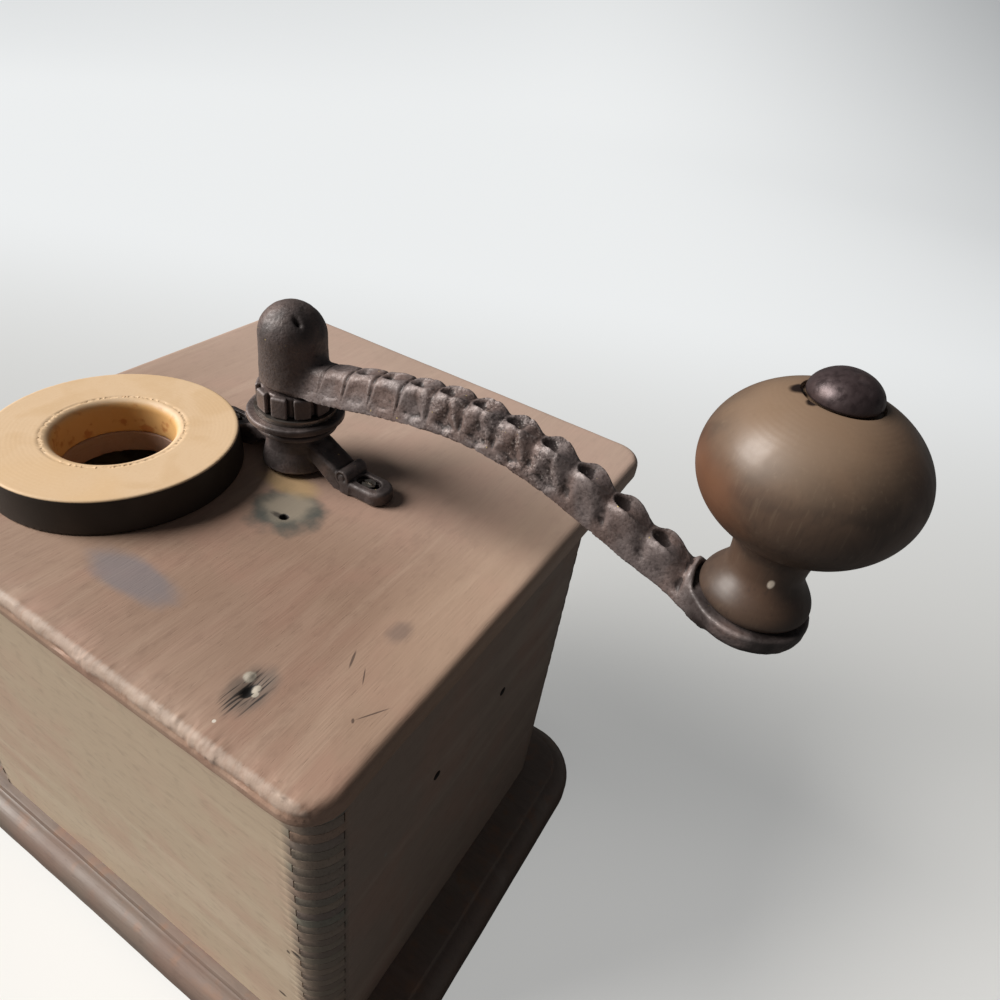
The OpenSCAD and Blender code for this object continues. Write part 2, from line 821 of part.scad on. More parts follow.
// Folded tin funnel that leads the beans from the feed hole to the burr
module bean_funnel() {
    out_x = in_x - funnel_gap;
    out_y = in_y - funnel_gap;
    rim_z1 = case_top - 0.3;
    rim_z0 = rim_z1 - funnel_rim;
    low = [shaft_x - funnel_out, shaft_x + funnel_out, shaft_y - funnel_out, shaft_y + funnel_out];
    high = [-out_x, out_x, -out_y, out_y];
    shrink = [tin_t, -tin_t, tin_t, -tin_t];
    slope_t = 1.9 * tin_t;
    color("#b4b0a4")
        difference() {
            union() {
                frustum(low, funnel_z, high, rim_z0);
                translate([-out_x, -out_y, rim_z0 - eps])
                    cube([2 * out_x, 2 * out_y, funnel_rim]);
            }
            frustum(low + shrink, funnel_z + eps, high + shrink, rim_z0 + slope_t);
            translate([low[0] + tin_t, low[2] + tin_t, funnel_z - 1])
                cube([2 * (funnel_out - tin_t), 2 * (funnel_out - tin_t), 2]);
            translate([-out_x + tin_t, -out_y + tin_t, rim_z0 + slope_t - eps])
                cube([2 * (out_x - tin_t), 2 * (out_y - tin_t), 2 * funnel_rim]);
            funnel_tack_set(pin_gap);
        }
}

// Tacks through the funnel's rim into the side walls
module funnel_tack_set(gap) {
    for (s = [-1, 1], sy = [-1, 1])
        translate([s * (in_x - funnel_gap - tin_t - 0.7), sy * tack_y, case_top - funnel_rim / 2 - 0.3])
            rotate([0, 0, s > 0 ? 180 : 0])
                nail(tack_l, 0.7 + gap, 1.8 + gap, 0.7);
}

module funnel_tacks() {
    color("#4b4743")
        funnel_tack_set(0);
}

// Point and slope of the arm's underside, on a curve with two bend handles
arm_p = [[-shaft_r - 1.2, arm_z], [-arm_rise_at, arm_z + arm_rise], [-arm_fall_at, arm_z - arm_fall],
    [-crank_r + pad_r - 5, pad_z + 0.1]];
function bend(t) = pow(1 - t, 3) * arm_p[0] + 3 * t * pow(1 - t, 2) * arm_p[1]
    + 3 * t * t * (1 - t) * arm_p[2] + pow(t, 3) * arm_p[3];
function bend_dir(t) =
    let (d = pow(1 - t, 2) * (arm_p[1] - arm_p[0]) + 2 * t * (1 - t) * (arm_p[2] - arm_p[1])
        + t * t * (arm_p[3] - arm_p[2])) d / norm(d);

// One D-shaped ring of the arm, flat underneath and round on top
function arm_ring(t) =
    let (p = bend(t), d = bend_dir(t), w = arm_half_w + (arm_end_half_w - arm_half_w) * t,
        h = arm_h + (arm_end_h - arm_h) * t,
        section = concat([[w - 0.8, 0]], arc(0, 0.3 * h, w, 0.7 * h, 0, 180, 8), [[0.8 - w, 0]]))
    [for (q = section) [p[0] + d[1] * q[1], q[0], p[1] - d[0] * q[1]]];

module arm() {
    rings = 26;
    points = [for (i = [0:rings]) each arm_ring(i / rings)];
    m = len(arm_ring(0));
    sides = [for (i = [0:rings - 1], j = [0:m - 1])
        let (a = i * m + j, b = i * m + (j + 1) % m) each [[a, b, b + m], [a, b + m, a + m]]];
    ends = [[for (j = [m - 1:-1:0]) j], [for (j = [0:m - 1]) rings * m + j]];
    polyhedron(points, concat(sides, ends));
}

module crank() {
    hub = concat([[0, hub_z], [hub_r, hub_z], [hub_r + 0.5, hub_z + 0.5], [hub_r + 0.1, hub_z + hub_h / 2]],
        arc(0, hub_top, hub_r, hub_dome, 0, 90, 8));
    pad = [[0, pad_z], [pad_r - 1, pad_z], [pad_r, pad_z + 1], [pad_r, pad_top - 0.6],
        [pad_r - 0.6, pad_top], [0, pad_top]];
    color("#51463f")
        translate([shaft_x, shaft_y, 0])
            difference() {
                union() {
                    rotate_extrude()
                        polygon(hub);
                    difference() {
                        arm();
                        translate([-crank_r, 0, pad_top - eps])
                            cylinder(r = knob_foot_r + knob_side_gap, h = 2 * arm_h);
                    }
                    translate([-crank_r, 0, 0])
                        rotate_extrude()
                            polygon(pad);
                }
                translate([-square_w / 2 - socket_gap, -square_w / 2 - socket_gap, hub_z - 5])
                    cube([square_w + 2 * socket_gap, square_w + 2 * socket_gap, socket_top - hub_z + 5]);
                translate([-crank_r, 0, pad_z - 1])
                    cylinder(r = rivet_r + pin_gap, h = pad_t + 2);
                set_screw_shape(pin_gap);
            }
}

// Headless screw that clamps the hub on the square, on the side away from the arm
module set_screw_shape(gap) {
    translate([square_w / 2 + (gap > 0 ? 0 : 2 * socket_gap), 0, hub_z + hub_h / 2])
        rotate([0, 90, 0])
            cylinder(r = 2.2 + gap, h = hub_r - square_w / 2 - 0.4 + (gap > 0 ? 2 : 0));
}

module crank_set_screw() {
    color("#77706a")
        translate([shaft_x, shaft_y, 0])
            difference() {
                set_screw_shape(0);
                translate([hub_r - 0.6, 0, hub_z + hub_h / 2])
                    cube([1.4, 6, 0.8], center = true);
            }
}

module knob_rivet() {
    peen_r = rivet_r + 2;
    shape = concat([[0, pad_z - 1.3], [peen_r - 0.8, pad_z - 1.3], [peen_r, pad_z - face_gap]],
        [[rivet_r, pad_z - face_gap], [rivet_r, head_z], [rivet_head_r, head_z]],
        arc(0, head_z + 0.6, rivet_head_r, rivet_head_h - 0.6, 0, 90, 8));
    color("#3a3230")
        translate([shaft_x - crank_r, shaft_y, 0])
            rotate_extrude()
                polygon(shape);
}

// Turned knob: swelling foot, neck and flattened ball with a seat for the rivet's head
module crank_knob() {
    foot = [for (i = [0:4]) let (t = i / 4)
        [knob_foot_r - knob_foot_in * pow(1 - t, 2), knob_z + knob_foot_up * t]];
    neck = [for (i = [1:8]) let (t = i / 8)
        [knob_neck_r + (knob_foot_r - knob_neck_r) * (1 + cos(180 * t)) / 2,
            knob_z + knob_foot_up + (knob_neck_up - knob_foot_up) * t]];
    ball_from = 50;
    throat_h = ball_up - knob_neck_up - ball_b * sin(ball_from) - 2;
    shape = concat([[rivet_r + run_gap, knob_z]], foot, neck,
        arc(knob_neck_r + 3.4, knob_z + knob_neck_up, 3.4, throat_h, 168, 112, 5),
        arc(0, ball_z, ball_a, ball_b, -ball_from, acos(seat_r / ball_a), 22),
        [[seat_r, seat_z], [rivet_r + run_gap, seat_z]]);
    color("#6b4f38")
        translate([shaft_x - crank_r, shaft_y, 0])
            rotate_extrude()
                polygon(shape);
}

// Drawer front with a lip that covers the ends of the sides
module drawer_front() {
    color("#8f7e69")
        difference() {
            union() {
                translate([-drawer_w / 2, drawer_y0, drawer_z])
                    cube([drawer_w, lip_t, drawer_h]);
                translate([-inner_w + glue_gap, drawer_y0, drawer_z])
                    cube([2 * (inner_w - glue_gap), drawer_front_t, drawer_h]);
            }
            drawer_panel(0.1);
            drawer_nail_set(pin_gap);
            translate([0, drawer_y0 - 1, drawer_mid_z])
                rotate([-90, 0, 0])
                    cylinder(r = 2.1, h = drawer_front_t + 2);
        }
}

// Bottom panel, or with a gap the grooves that hold it
module drawer_panel(gap) {
    y0 = drawer_y0 + drawer_front_t - groove_d;
    y1 = drawer_y1 - drawer_side_t + groove_d;
    w = inner_w + groove_d;
    translate([-w - gap, y0 - gap, drawer_z + drawer_bottom_up - gap])
        cube([2 * (w + gap), y1 - y0 + 2 * gap, drawer_bottom_t + 2 * gap]);
}

module drawer_bottom() {
    color("#a58a66")
        drawer_panel(0);
}

module drawer_side(s) {
    difference() {
        translate([s > 0 ? inner_w : -drawer_w / 2, rebate_y + glue_gap, drawer_z])
            cube([drawer_side_t, drawer_y1 - rebate_y - glue_gap, drawer_h]);
        drawer_panel(0.1);
        drawer_nail_set(pin_gap);
    }
}

module drawer_left_side() {
    color("#a58a66")
        drawer_side(1);
}

module drawer_right_side() {
    color("#a58a66")
        drawer_side(-1);
}

module drawer_back() {
    color("#a58a66")
        difference() {
            translate([-inner_w + glue_gap, drawer_y1 - drawer_side_t, drawer_z])
                cube([2 * (inner_w - glue_gap), drawer_side_t, drawer_h]);
            drawer_panel(0.1);
            drawer_nail_set(pin_gap);
        }
}

module drawer_nail_set(gap) {
    for (s = [-1, 1], y = [drawer_y0 + (drawer_front_t + lip_t) / 2, drawer_y1 - drawer_side_t / 2],
            z = [drawer_z + drawer_h * 0.25, drawer_z + drawer_h * 0.75])
        translate([s * drawer_w / 2, y, z])
            rotate([0, 0, s > 0 ? 0 : 180])
                nail(drawer_side_t + 12, 0.7 + gap, 1.5 + gap, 0.8);
}

module drawer_nails() {
    color("#4b4743")
        drawer_nail_set(0);
}

// Turned knob of the drawer, along -Y
module drawer_knob() {
    head_l = drawer_knob_l - neck_l;
    shape = concat([[2.1, 0], [drawer_knob_r - 2, 0], [drawer_knob_r - 1.6, 1.4]],
        [[drawer_knob_r * 0.55, 3], [drawer_knob_r * 0.5, neck_l]],
        arc(0, neck_l + head_l / 2, drawer_knob_r, head_l / 2, -50, 90, 12),
        [[0, drawer_knob_l - 5], [2.1, drawer_knob_l - 5]]);
    color("#5f4531")
        translate([0, drawer_y0 - face_gap, drawer_mid_z])
            rotate([90, 0, 0])
                rotate_extrude()
                    polygon(shape);
}

// Screw from inside the drawer's front into the knob
module drawer_knob_screw() {
    l = drawer_front_t + drawer_knob_l - 6;
    color("#77706a")
        translate([0, drawer_y0 + drawer_front_t + 1.8, drawer_mid_z])
            rotate([90, 0, 0])
                difference() {
                    union() {
                        cylinder(r = 4, h = 1.7);
                        translate([0, 0, 1.6])
                            cylinder(r = 2, h = l);
                    }
                    cube([12, 1, 1.2], center = true);
                }
}

base_board();
back_wall();
left_wall();
right_wall();
front_rail();
top_board();
feed_collar();
partition_board();
partition_nails();
base_screws();
bean_funnel();
funnel_tacks();
burr_casing();
casing_screws();
bearing_bar();
bearing_bar_screws();
bridge();
bridge_screws();
thrust_washer();
adjusting_nut();
spindle();
grinding_cone();
cone_pin();
crank();
crank_set_screw();
knob_rivet();
crank_knob();
drawer_front();
drawer_left_side();
drawer_right_side();
drawer_back();
drawer_bottom();
drawer_nails();
drawer_knob();
drawer_knob_screw();
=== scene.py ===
"""Looks of an old box coffee grinder: worn boards, a scaled iron crank and a big turned knob.

Lengths are millimetres unless a name says otherwise, and meshes are turned to metres when they are made.
+Z is up, the crank lies along -X at rest, and the drawer opens towards -Y.
"""
import json
import logging
from dataclasses import dataclass, field
from enum import Enum
from typing import Callable, Iterable, Optional, Sequence, Union

import bmesh
import bpy
import numpy as np
from mathutils import Matrix, Vector


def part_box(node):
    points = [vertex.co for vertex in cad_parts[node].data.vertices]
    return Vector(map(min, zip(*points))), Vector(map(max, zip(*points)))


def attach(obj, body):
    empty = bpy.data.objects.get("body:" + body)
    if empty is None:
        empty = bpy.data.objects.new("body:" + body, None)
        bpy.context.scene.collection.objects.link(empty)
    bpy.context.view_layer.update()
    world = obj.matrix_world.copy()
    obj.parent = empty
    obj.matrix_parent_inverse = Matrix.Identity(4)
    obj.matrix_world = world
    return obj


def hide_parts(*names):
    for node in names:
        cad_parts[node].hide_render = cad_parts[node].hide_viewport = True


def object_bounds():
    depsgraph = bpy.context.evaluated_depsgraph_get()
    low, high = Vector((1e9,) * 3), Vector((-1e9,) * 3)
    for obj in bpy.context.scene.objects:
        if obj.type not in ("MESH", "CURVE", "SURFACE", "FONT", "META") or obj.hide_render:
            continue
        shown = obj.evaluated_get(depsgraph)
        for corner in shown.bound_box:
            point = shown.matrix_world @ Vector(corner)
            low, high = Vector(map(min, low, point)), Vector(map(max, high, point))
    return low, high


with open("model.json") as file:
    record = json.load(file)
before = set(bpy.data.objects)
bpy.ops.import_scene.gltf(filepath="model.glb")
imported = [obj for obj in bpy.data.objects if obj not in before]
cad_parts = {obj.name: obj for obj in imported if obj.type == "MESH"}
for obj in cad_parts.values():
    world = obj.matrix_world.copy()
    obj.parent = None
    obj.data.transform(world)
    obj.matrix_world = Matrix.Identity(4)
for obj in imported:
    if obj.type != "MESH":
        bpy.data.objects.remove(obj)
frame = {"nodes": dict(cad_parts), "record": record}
CAD_BOX = [list(corner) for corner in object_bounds()]

MM = 0.001
LOG = logging.getLogger("grinder")
Array = np.ndarray
Field = Callable[[Array, Array, Array], Array]
Socket = bpy.types.NodeSocket


class Axis(Enum):
    """Direction that a board's fibres or a turned piece's axis runs in."""

    X = 0
    Y = 1
    Z = 2


class Corner(Enum):
    """Which half of a finger joint a board's end is at one row."""

    FINGER = 1
    SOCKET = 0


@dataclass(frozen=True)
class Extent:
    """Box of one construction node, in millimetres."""

    lo: Array
    hi: Array

    @classmethod
    def of(cls, node: str) -> "Extent":
        """Reads the box of a node from the frame."""
        lo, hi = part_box(node)
        return cls(np.array(lo) / MM, np.array(hi) / MM)

    @property
    def mid(self) -> Array:
        """Centre of the box."""
        return (self.lo + self.hi) / 2

    @property
    def size(self) -> Array:
        """Lengths of the box's sides."""
        return self.hi - self.lo


def smooth(x: Array, low: float, high: float) -> Array:
    """Soft step: 0 below low, 1 above high, and 3t^2 - 2t^3 between them."""
    t = np.clip((x - low) / (high - low), 0.0, 1.0)
    return t * t * (3.0 - 2.0 * t)


def blend_min(a: Array, b: Array, radius: float) -> Array:
    """Smaller of two distances, with a fillet of about the given radius where they are alike."""
    h = np.clip(0.5 + 0.5 * (b - a) / radius, 0.0, 1.0)
    return b + (a - b) * h - radius * h * (1.0 - h)


def blend_max(a: Array, b: Array, radius: float) -> Array:
    """Larger of two distances, with a rounded edge of about the given radius."""
    return -blend_min(-a, -b, radius)


def prism(plan: Array, tall: Array, edge: Union[float, Array]) -> Array:
    """Distance to an upright solid whose edges are rounded.

    Args:
        plan: distance past the solid's outline, seen from above.
        tall: distance past its nearer end face.
        edge: radius of the rounding.

    Returns:
        The signed distance, negative inside.
    """
    a, b = plan + edge, tall + edge
    return np.minimum(np.maximum(a, b), 0.0) + np.hypot(np.maximum(a, 0.0), np.maximum(b, 0.0)) - edge


def slot_plan(x: Array, y: Array, half_run: float, radius: float) -> Array:
    """Distance past the outline of a slot with round ends, which runs along X."""
    return np.hypot(x - np.clip(x, -half_run, half_run), y) - radius


def lumps(x: Array, y: Array, z: Array, cell: float, seed: int) -> Array:
    """Soft random field from -1 to 1: random values on a lattice of the given cell, blended between them."""
    table = np.random.default_rng(seed).random(4096) * 2.0 - 1.0
    p = [np.asarray(c, float) / cell for c in np.broadcast_arrays(x, y, z)]
    base = [np.floor(c).astype(np.int64) for c in p]
    t = [c - b for c, b in zip(p, base)]
    t = [c * c * (3.0 - 2.0 * c) for c in t]
    total = np.zeros(p[0].shape)
    for corner in range(8):
        d = (corner & 1, corner >> 1 & 1, corner >> 2 & 1)
        key = sum((b + o) * m for b, o, m in zip(base, d, (7919, 104729, 1299709)))
        weight = np.prod([c if o else 1.0 - c for c, o in zip(t, d)], axis=0)
        total += table[(key ^ key >> 7) % 4096] * weight
    return total


def roughen(out: Array, x: Array, y: Array, z: Array, parts: Iterable[tuple[float, float, int]]) -> Array:
    """Moves a surface in and out by soft random lumps, which are worked out only close to the surface.

    Args:
        out: signed distance of the plain surface.
        x: place of each point; so are y and z.
        y: see x.
        z: see x.
        parts: height, cell and seed of each kind of lumps.

    Returns:
        The signed distance of the lumpy surface.
    """
    close = np.abs(out) < 1.2
    spots = [np.broadcast_to(c, out.shape)[close] for c in (x, y, z)]
    out = out.copy()
    out[close] += sum(height * lumps(*spots, cell, seed) for height, cell, seed in parts)
    return out


def iso_mesh(shape: Field, axes: Sequence[Array]) -> tuple[Array, Array]:
    """Meshes the surface where a field is zero, by surface nets.

    Each grid cell that the surface passes through gets one point, the mean of the places where its edges
    cross zero, and each crossed edge joins the points of its four cells with a quad. The points then take
    Newton steps along the field's slope, so that they come to lie on the surface.

    Args:
        shape: signed distance of points, negative inside the solid.
        axes: grid coordinates along X, Y and Z, with a margin round the solid.

    Returns:
        Points, and quads that face outwards.
    """
    value = shape(*np.meshgrid(*axes, indexing="ij"))
    cells = np.array(value.shape) - 1
    stride = np.array([cells[1] * cells[2], cells[2], 1])
    count = int(np.prod(cells))
    total, hits, edges = np.zeros((3, count)), np.zeros(count), []
    for a in range(3):
        b, c = (a + 1) % 3, (a + 2) % 3
        first, second = (np.take(value, np.arange(s, value.shape[a] - 1 + s), axis=a) for s in (0, 1))
        at = np.argwhere((first < 0) != (second < 0))
        f0, f1 = first[tuple(at.T)], second[tuple(at.T)]
        place = np.stack([axes[i][at[:, i]] for i in range(3)], axis=1)
        place[:, a] += (f0 / (f0 - f1)) * (axes[a][at[:, a] + 1] - axes[a][at[:, a]])
        steps = np.array([np.eye(3, dtype=int)[b] * i + np.eye(3, dtype=int)[c] * j
                          for i, j in ((0, 0), (-1, 0), (-1, -1), (0, -1))])
        around = (at[:, None, :] + steps[None]) @ stride
        for k in range(4):
            hits += np.bincount(around[:, k], minlength=count)
            for i in range(3):
                total[i] += np.bincount(around[:, k], weights=place[:, i], minlength=count)
        edges.append(np.where((f0 < 0)[:, None], around, around[:, ::-1]))
    used = np.flatnonzero(hits)
    number = np.zeros(count, np.int64)
    number[used] = np.arange(len(used))
    points = (total[:, used] / hits[used]).T
    reach = 0.6 * min(float(np.diff(axis).min()) for axis in axes)
    for _ in range(4):
        points -= np.clip(newton_step(shape, points), -reach, reach)
    return points, number[np.concatenate(edges)]


def newton_step(shape: Field, points: Array, h: float = 0.02) -> Array:
    """Step from each point to the surface: the field's value times its slope over the slope's square."""
    value = shape(*points.T)
    slope = np.stack([(shape(*(points + h * e).T) - value) / h for e in np.eye(3)], axis=1)
    return value[:, None] * slope / np.maximum((slope ** 2).sum(1), 1e-6)[:, None]


def edge_wear(shape: Field, points: Array, h: float) -> Array:
    """How far a surface sticks out at each point, from its field's curvature: 0 hollow, 0.5 flat, 1 sharp."""
    around = sum(shape(*(points + s * h * e).T) for e in np.eye(3) for s in (-1, 1))
    bend = (around - 6.0 * shape(*points.T)) / h
    return np.clip(0.5 + 0.5 * bend, 0.0, 1.0)


def even(lo: float, hi: float, step: float) -> Array:
    """Grid coordinates from lo to hi with a margin of two steps."""
    return np.arange(lo - 2.0 * step, hi + 2.5 * step, step)


def finer_at(lo: float, hi: float, step: float, places: Iterable[tuple[float, float]], fine: float) -> Array:
    """Grid coordinates like even's, but with fine steps within the given (middle, half width) places."""
    at, out = lo - 2.0 * step, []
    places = list(places)
    while at < hi + 2.0 * step:
        out.append(at)
        near = any(abs(at - middle) < half for middle, half in places)
        at += fine if near else step
    return np.array(out + [at])


def grid_quads(rows: int, columns: int, wrap: bool) -> Array:
    """Quads that join a grid of points row by row; wrap joins the last column to the first."""
    i, j = np.meshgrid(np.arange(rows - 1), np.arange(columns if wrap else columns - 1), indexing="ij")
    k = (j + 1) % columns
    return np.stack([i * columns + j, i * columns + k, (i + 1) * columns + k, (i + 1) * columns + j],
                    axis=-1).reshape(-1, 4)


def stack_rings(rings: Array) -> tuple[Array, list[list[int]]]:
    """Closed skin over rings of points, which run anticlockwise seen from above and are stacked upwards.

    Args:
        rings: points, shaped (rings, points a ring, 3).

    Returns:
        Points, and faces with a flat cap at each end.
    """
    rows, columns = rings.shape[:2]
    faces = grid_quads(rows, columns, True).tolist()
    faces.append(list(range(columns - 1, -1, -1)))
    faces.append(list(range((rows - 1) * columns, rows * columns)))
    return rings.reshape(-1, 3), faces


def rounded_ring(half_x: float, half_y: float, radius: float, spacing: float, arc: int) -> Array:
    """Rectangle with round corners: straight sides at about the given spacing and arcs of arc steps.

    The number of points depends only on the outer sizes that are rounded to the spacing, so rings that are
    drawn in from one outline match point by point.
    """
    corners = ((1, 1, 0), (-1, 1, 90), (-1, -1, 180), (1, -1, 270))
    out = []
    for n, (sx, sy, turn) in enumerate(corners):
        a = np.radians(turn + np.linspace(0, 90, arc + 1))
        centre = np.array([sx * (half_x - radius), sy * (half_y - radius)])
        out.append(centre + radius * np.stack([np.cos(a), np.sin(a)], 1))
        nx, ny, nturn = corners[(n + 1) % 4]
        start = out[-1][-1]
        end = np.array([nx * (half_x - radius), ny * (half_y - radius)])
        end = end + radius * np.array([np.cos(np.radians(nturn)), np.sin(np.radians(nturn))])
        inner = np.linspace(0, 1, int(spacing) + 1)[1:-1, None]
        out.append(start + (end - start) * inner)
    return np.concatenate(out)


def lathe(profile: Array, centre: Array, turns: int, along: Axis = Axis.Z, ring: bool = False,
          wobble: Optional[Callable[[Array, Array], Array]] = None) -> tuple[Array, list[list[int]]]:
    """Turns a profile round an axis.

    Args:
        profile: radius and height of each point; it starts and ends on the axis, unless ring is set, when
            it is a closed loop that runs anticlockwise in the plane of radius and height.
        centre: where radius and height are both zero.
        turns: points round the axis.
        along: axis of the piece; Y stands for a piece that points along -Y.
        ring: whether the profile is a loop.
        wobble: what is added to the radius, from the angle and the height.

    Returns:
        Points and faces.
    """
    angle = np.arange(turns) * 2.0 * np.pi / turns
    body = profile if ring else profile[1:-1]
    r = np.repeat(body[:, :1], turns, axis=1)
    z = np.repeat(body[:, 1:], turns, axis=1)
    if wobble is not None:
        r = r + wobble(angle[None, :], z)
    points = np.stack([r * np.cos(angle), r * np.sin(angle), z], axis=-1).reshape(-1, 3)
    rows = len(body)
    faces = grid_quads(rows, turns, True).tolist()
    turn = np.arange(turns)
    after = (turn + 1) % turns
    if ring:
        last = (rows - 1) * turns
        faces += np.stack([last + turn, last + after, after, turn], 1).tolist()
    else:
        low, high = len(points), len(points) + 1
        points = np.vstack([points, [0, 0, profile[0, 1]], [0, 0, profile[-1, 1]]])
        last = (rows - 1) * turns
        faces += [[low, int(b), int(a)] for a, b in zip(turn, after)]
        faces += [[high, int(last + a), int(last + b)] for a, b in zip(turn, after)]
    if along is Axis.Y:
        points = points @ np.array([[1, 0, 0], [0, 0, 1], [0, -1, 0]], float)
    return points + centre, faces


def linear(colour: str) -> tuple[float, float, float, float]:
    """Linear RGBA of an sRGB hex colour such as #A08672."""
    part = [int(colour[i:i + 2], 16) / 255.0 for i in (1, 3, 5)]
    return tuple(c / 12.92 if c <= 0.04045 else ((c + 0.055) / 1.055) ** 2.4 for c in part) + (1.0,)


def add(tree: bpy.types.NodeTree, kind: str, inputs: dict[Union[int, str], object],
        stops: Sequence[tuple[float, str]] = (), **settings: object) -> bpy.types.Node:
    """Adds one node.

    Args:
        tree: node tree that it goes into.
        kind: type of the node.
        inputs: what each input takes, by name or number: a socket, a number, a tuple or a hex colour.
        stops: place and hex colour of each stop, for a node with a colour ramp.
        settings: the node's own properties.

    Returns:
        The node.
    """
    node = tree.nodes.new(kind)
    for name, value in settings.items():
        setattr(node, name, value)
    for key, value in inputs.items():
        if isinstance(value, Socket):
            tree.links.new(value, node.inputs[key])
        else:
            node.inputs[key].default_value = linear(value) if isinstance(value, str) else value
    for n, (place, colour) in enumerate(stops):
        ramp = node.color_ramp.elements
        stop = ramp[n] if n < 2 else ramp.new(place)
        stop.position = place
        stop.color = linear(colour)
    return node


class Surface:
    """One material's node tree, with the steps that its finishes share."""

    def __init__(self, name: str) -> None:
        """Makes an empty material with a shader and Object coordinates."""
        self.material = bpy.data.materials.new(name)
        self.material.use_nodes = True
        self.tree = self.material.node_tree
        self.tree.nodes.clear()
        self.place = add(self.tree, "ShaderNodeTexCoord", {}).outputs["Object"]
        self.shader = add(self.tree, "ShaderNodeBsdfPrincipled", {})
        self.output = add(self.tree, "ShaderNodeOutputMaterial", {"Surface": self.shader.outputs[0]})

    def grain(self, width: Sequence[float], detail: float = 2.0, twist: float = 0.0,
              turn: Sequence[float] = (0.0, 0.0, 0.0)) -> Socket:
        """Noise whose features have the given widths along X, Y and Z, in millimetres."""
        scale = tuple(1.0 / (w * MM) for w in width)
        place = add(self.tree, "ShaderNodeMapping", {"Vector": self.place, "Scale": scale, "Rotation": turn})
        noise = add(self.tree, "ShaderNodeTexNoise",
                    {"Vector": place.outputs[0], "Scale": 1.0, "Detail": detail, "Distortion": twist})
        return noise.outputs["Fac"]

    def span(self, value: Socket, low: float, high: float, top: float = 1.0) -> Socket:
        """Stretches a value so that low gives 0 and high gives top, with soft ends."""
        return add(self.tree, "ShaderNodeMapRange",
                   {"Value": value, "From Min": low, "From Max": high, "To Max": top},
                   interpolation_type="SMOOTHSTEP").outputs[0]

    def sum(self, a: Socket, b: Union[Socket, float], work: str = "MULTIPLY") -> Socket:
        """Joins two values with one step of arithmetic."""
        return add(self.tree, "ShaderNodeMath", {0: a, 1: b}, operation=work).outputs[0]

    def tint(self, below: Union[Socket, str], above: Union[Socket, str], share: Union[Socket, float],
             way: str = "MIX") -> Socket:
        """Lays one colour over another by a share from 0 to 1."""
        return add(self.tree, "ShaderNodeMix", {"Factor": share, "A": below, "B": above},
                   data_type="RGBA", blend_type=way).outputs["Result"]

    def near(self, spot: Sequence[float], size: Sequence[float], edge: float, ragged: float = 0.0) -> Socket:
        """Mask of an oval spot: 1 inside and 0 outside.

        Args:
            spot: middle of the spot, in millimetres.
            size: half its size along X, Y and Z.
            edge: how soft its rim is, as a share of its size.
            ragged: how far noise of a third of its size moves the rim, as a share.

        Returns:
            The mask.
        """
        scale = tuple(1.0 / (s * MM) for s in size)
        shift = tuple(-p / s for p, s in zip(spot, size))
        place = add(self.tree, "ShaderNodeMapping",
                    {"Vector": self.place, "Scale": scale, "Location": shift}).outputs[0]
        away = add(self.tree, "ShaderNodeVectorMath", {0: place}, operation="LENGTH").outputs["Value"]
        if ragged:
            rough = self.grain([s / 1.5 for s in size], 3.0)
            away = self.sum(away, self.sum(self.sum(rough, 0.5, "SUBTRACT"), 2.0 * ragged), "ADD")
        return self.span(away, 1.0 + edge, 1.0 - edge)

    def attribute(self, name: str) -> Socket:
        """A value that the mesh keeps for each point."""
        return add(self.tree, "ShaderNodeAttribute", {}, attribute_name=name).outputs["Fac"]

    def finish(self, colour: Socket, rough: Union[Socket, float], height: Optional[Socket] = None,
               depth: float = 0.0, **constants: object) -> bpy.types.Material:
        """Joins colour, roughness and relief to the shader.

        Args:
            colour: base colour.
            rough: roughness.
            height: relief from 0 to 1.
            depth: height of the relief, in millimetres.
            constants: other inputs of the shader, with _ for a space.

        Returns:
            The material.
        """
        self.tree.links.new(colour, self.shader.inputs["Base Color"])
        if isinstance(rough, Socket):
            self.tree.links.new(rough, self.shader.inputs["Roughness"])
        else:
            self.shader.inputs["Roughness"].default_value = rough
        if height is not None:
            bump = add(self.tree, "ShaderNodeBump", {"Height": height, "Distance": depth * MM, "Strength": 1.0})
            self.tree.links.new(bump.outputs[0], self.shader.inputs["Normal"])
        for name, value in constants.items():
            self.shader.inputs[name.replace("_", " ")].default_value = value
        return self.material


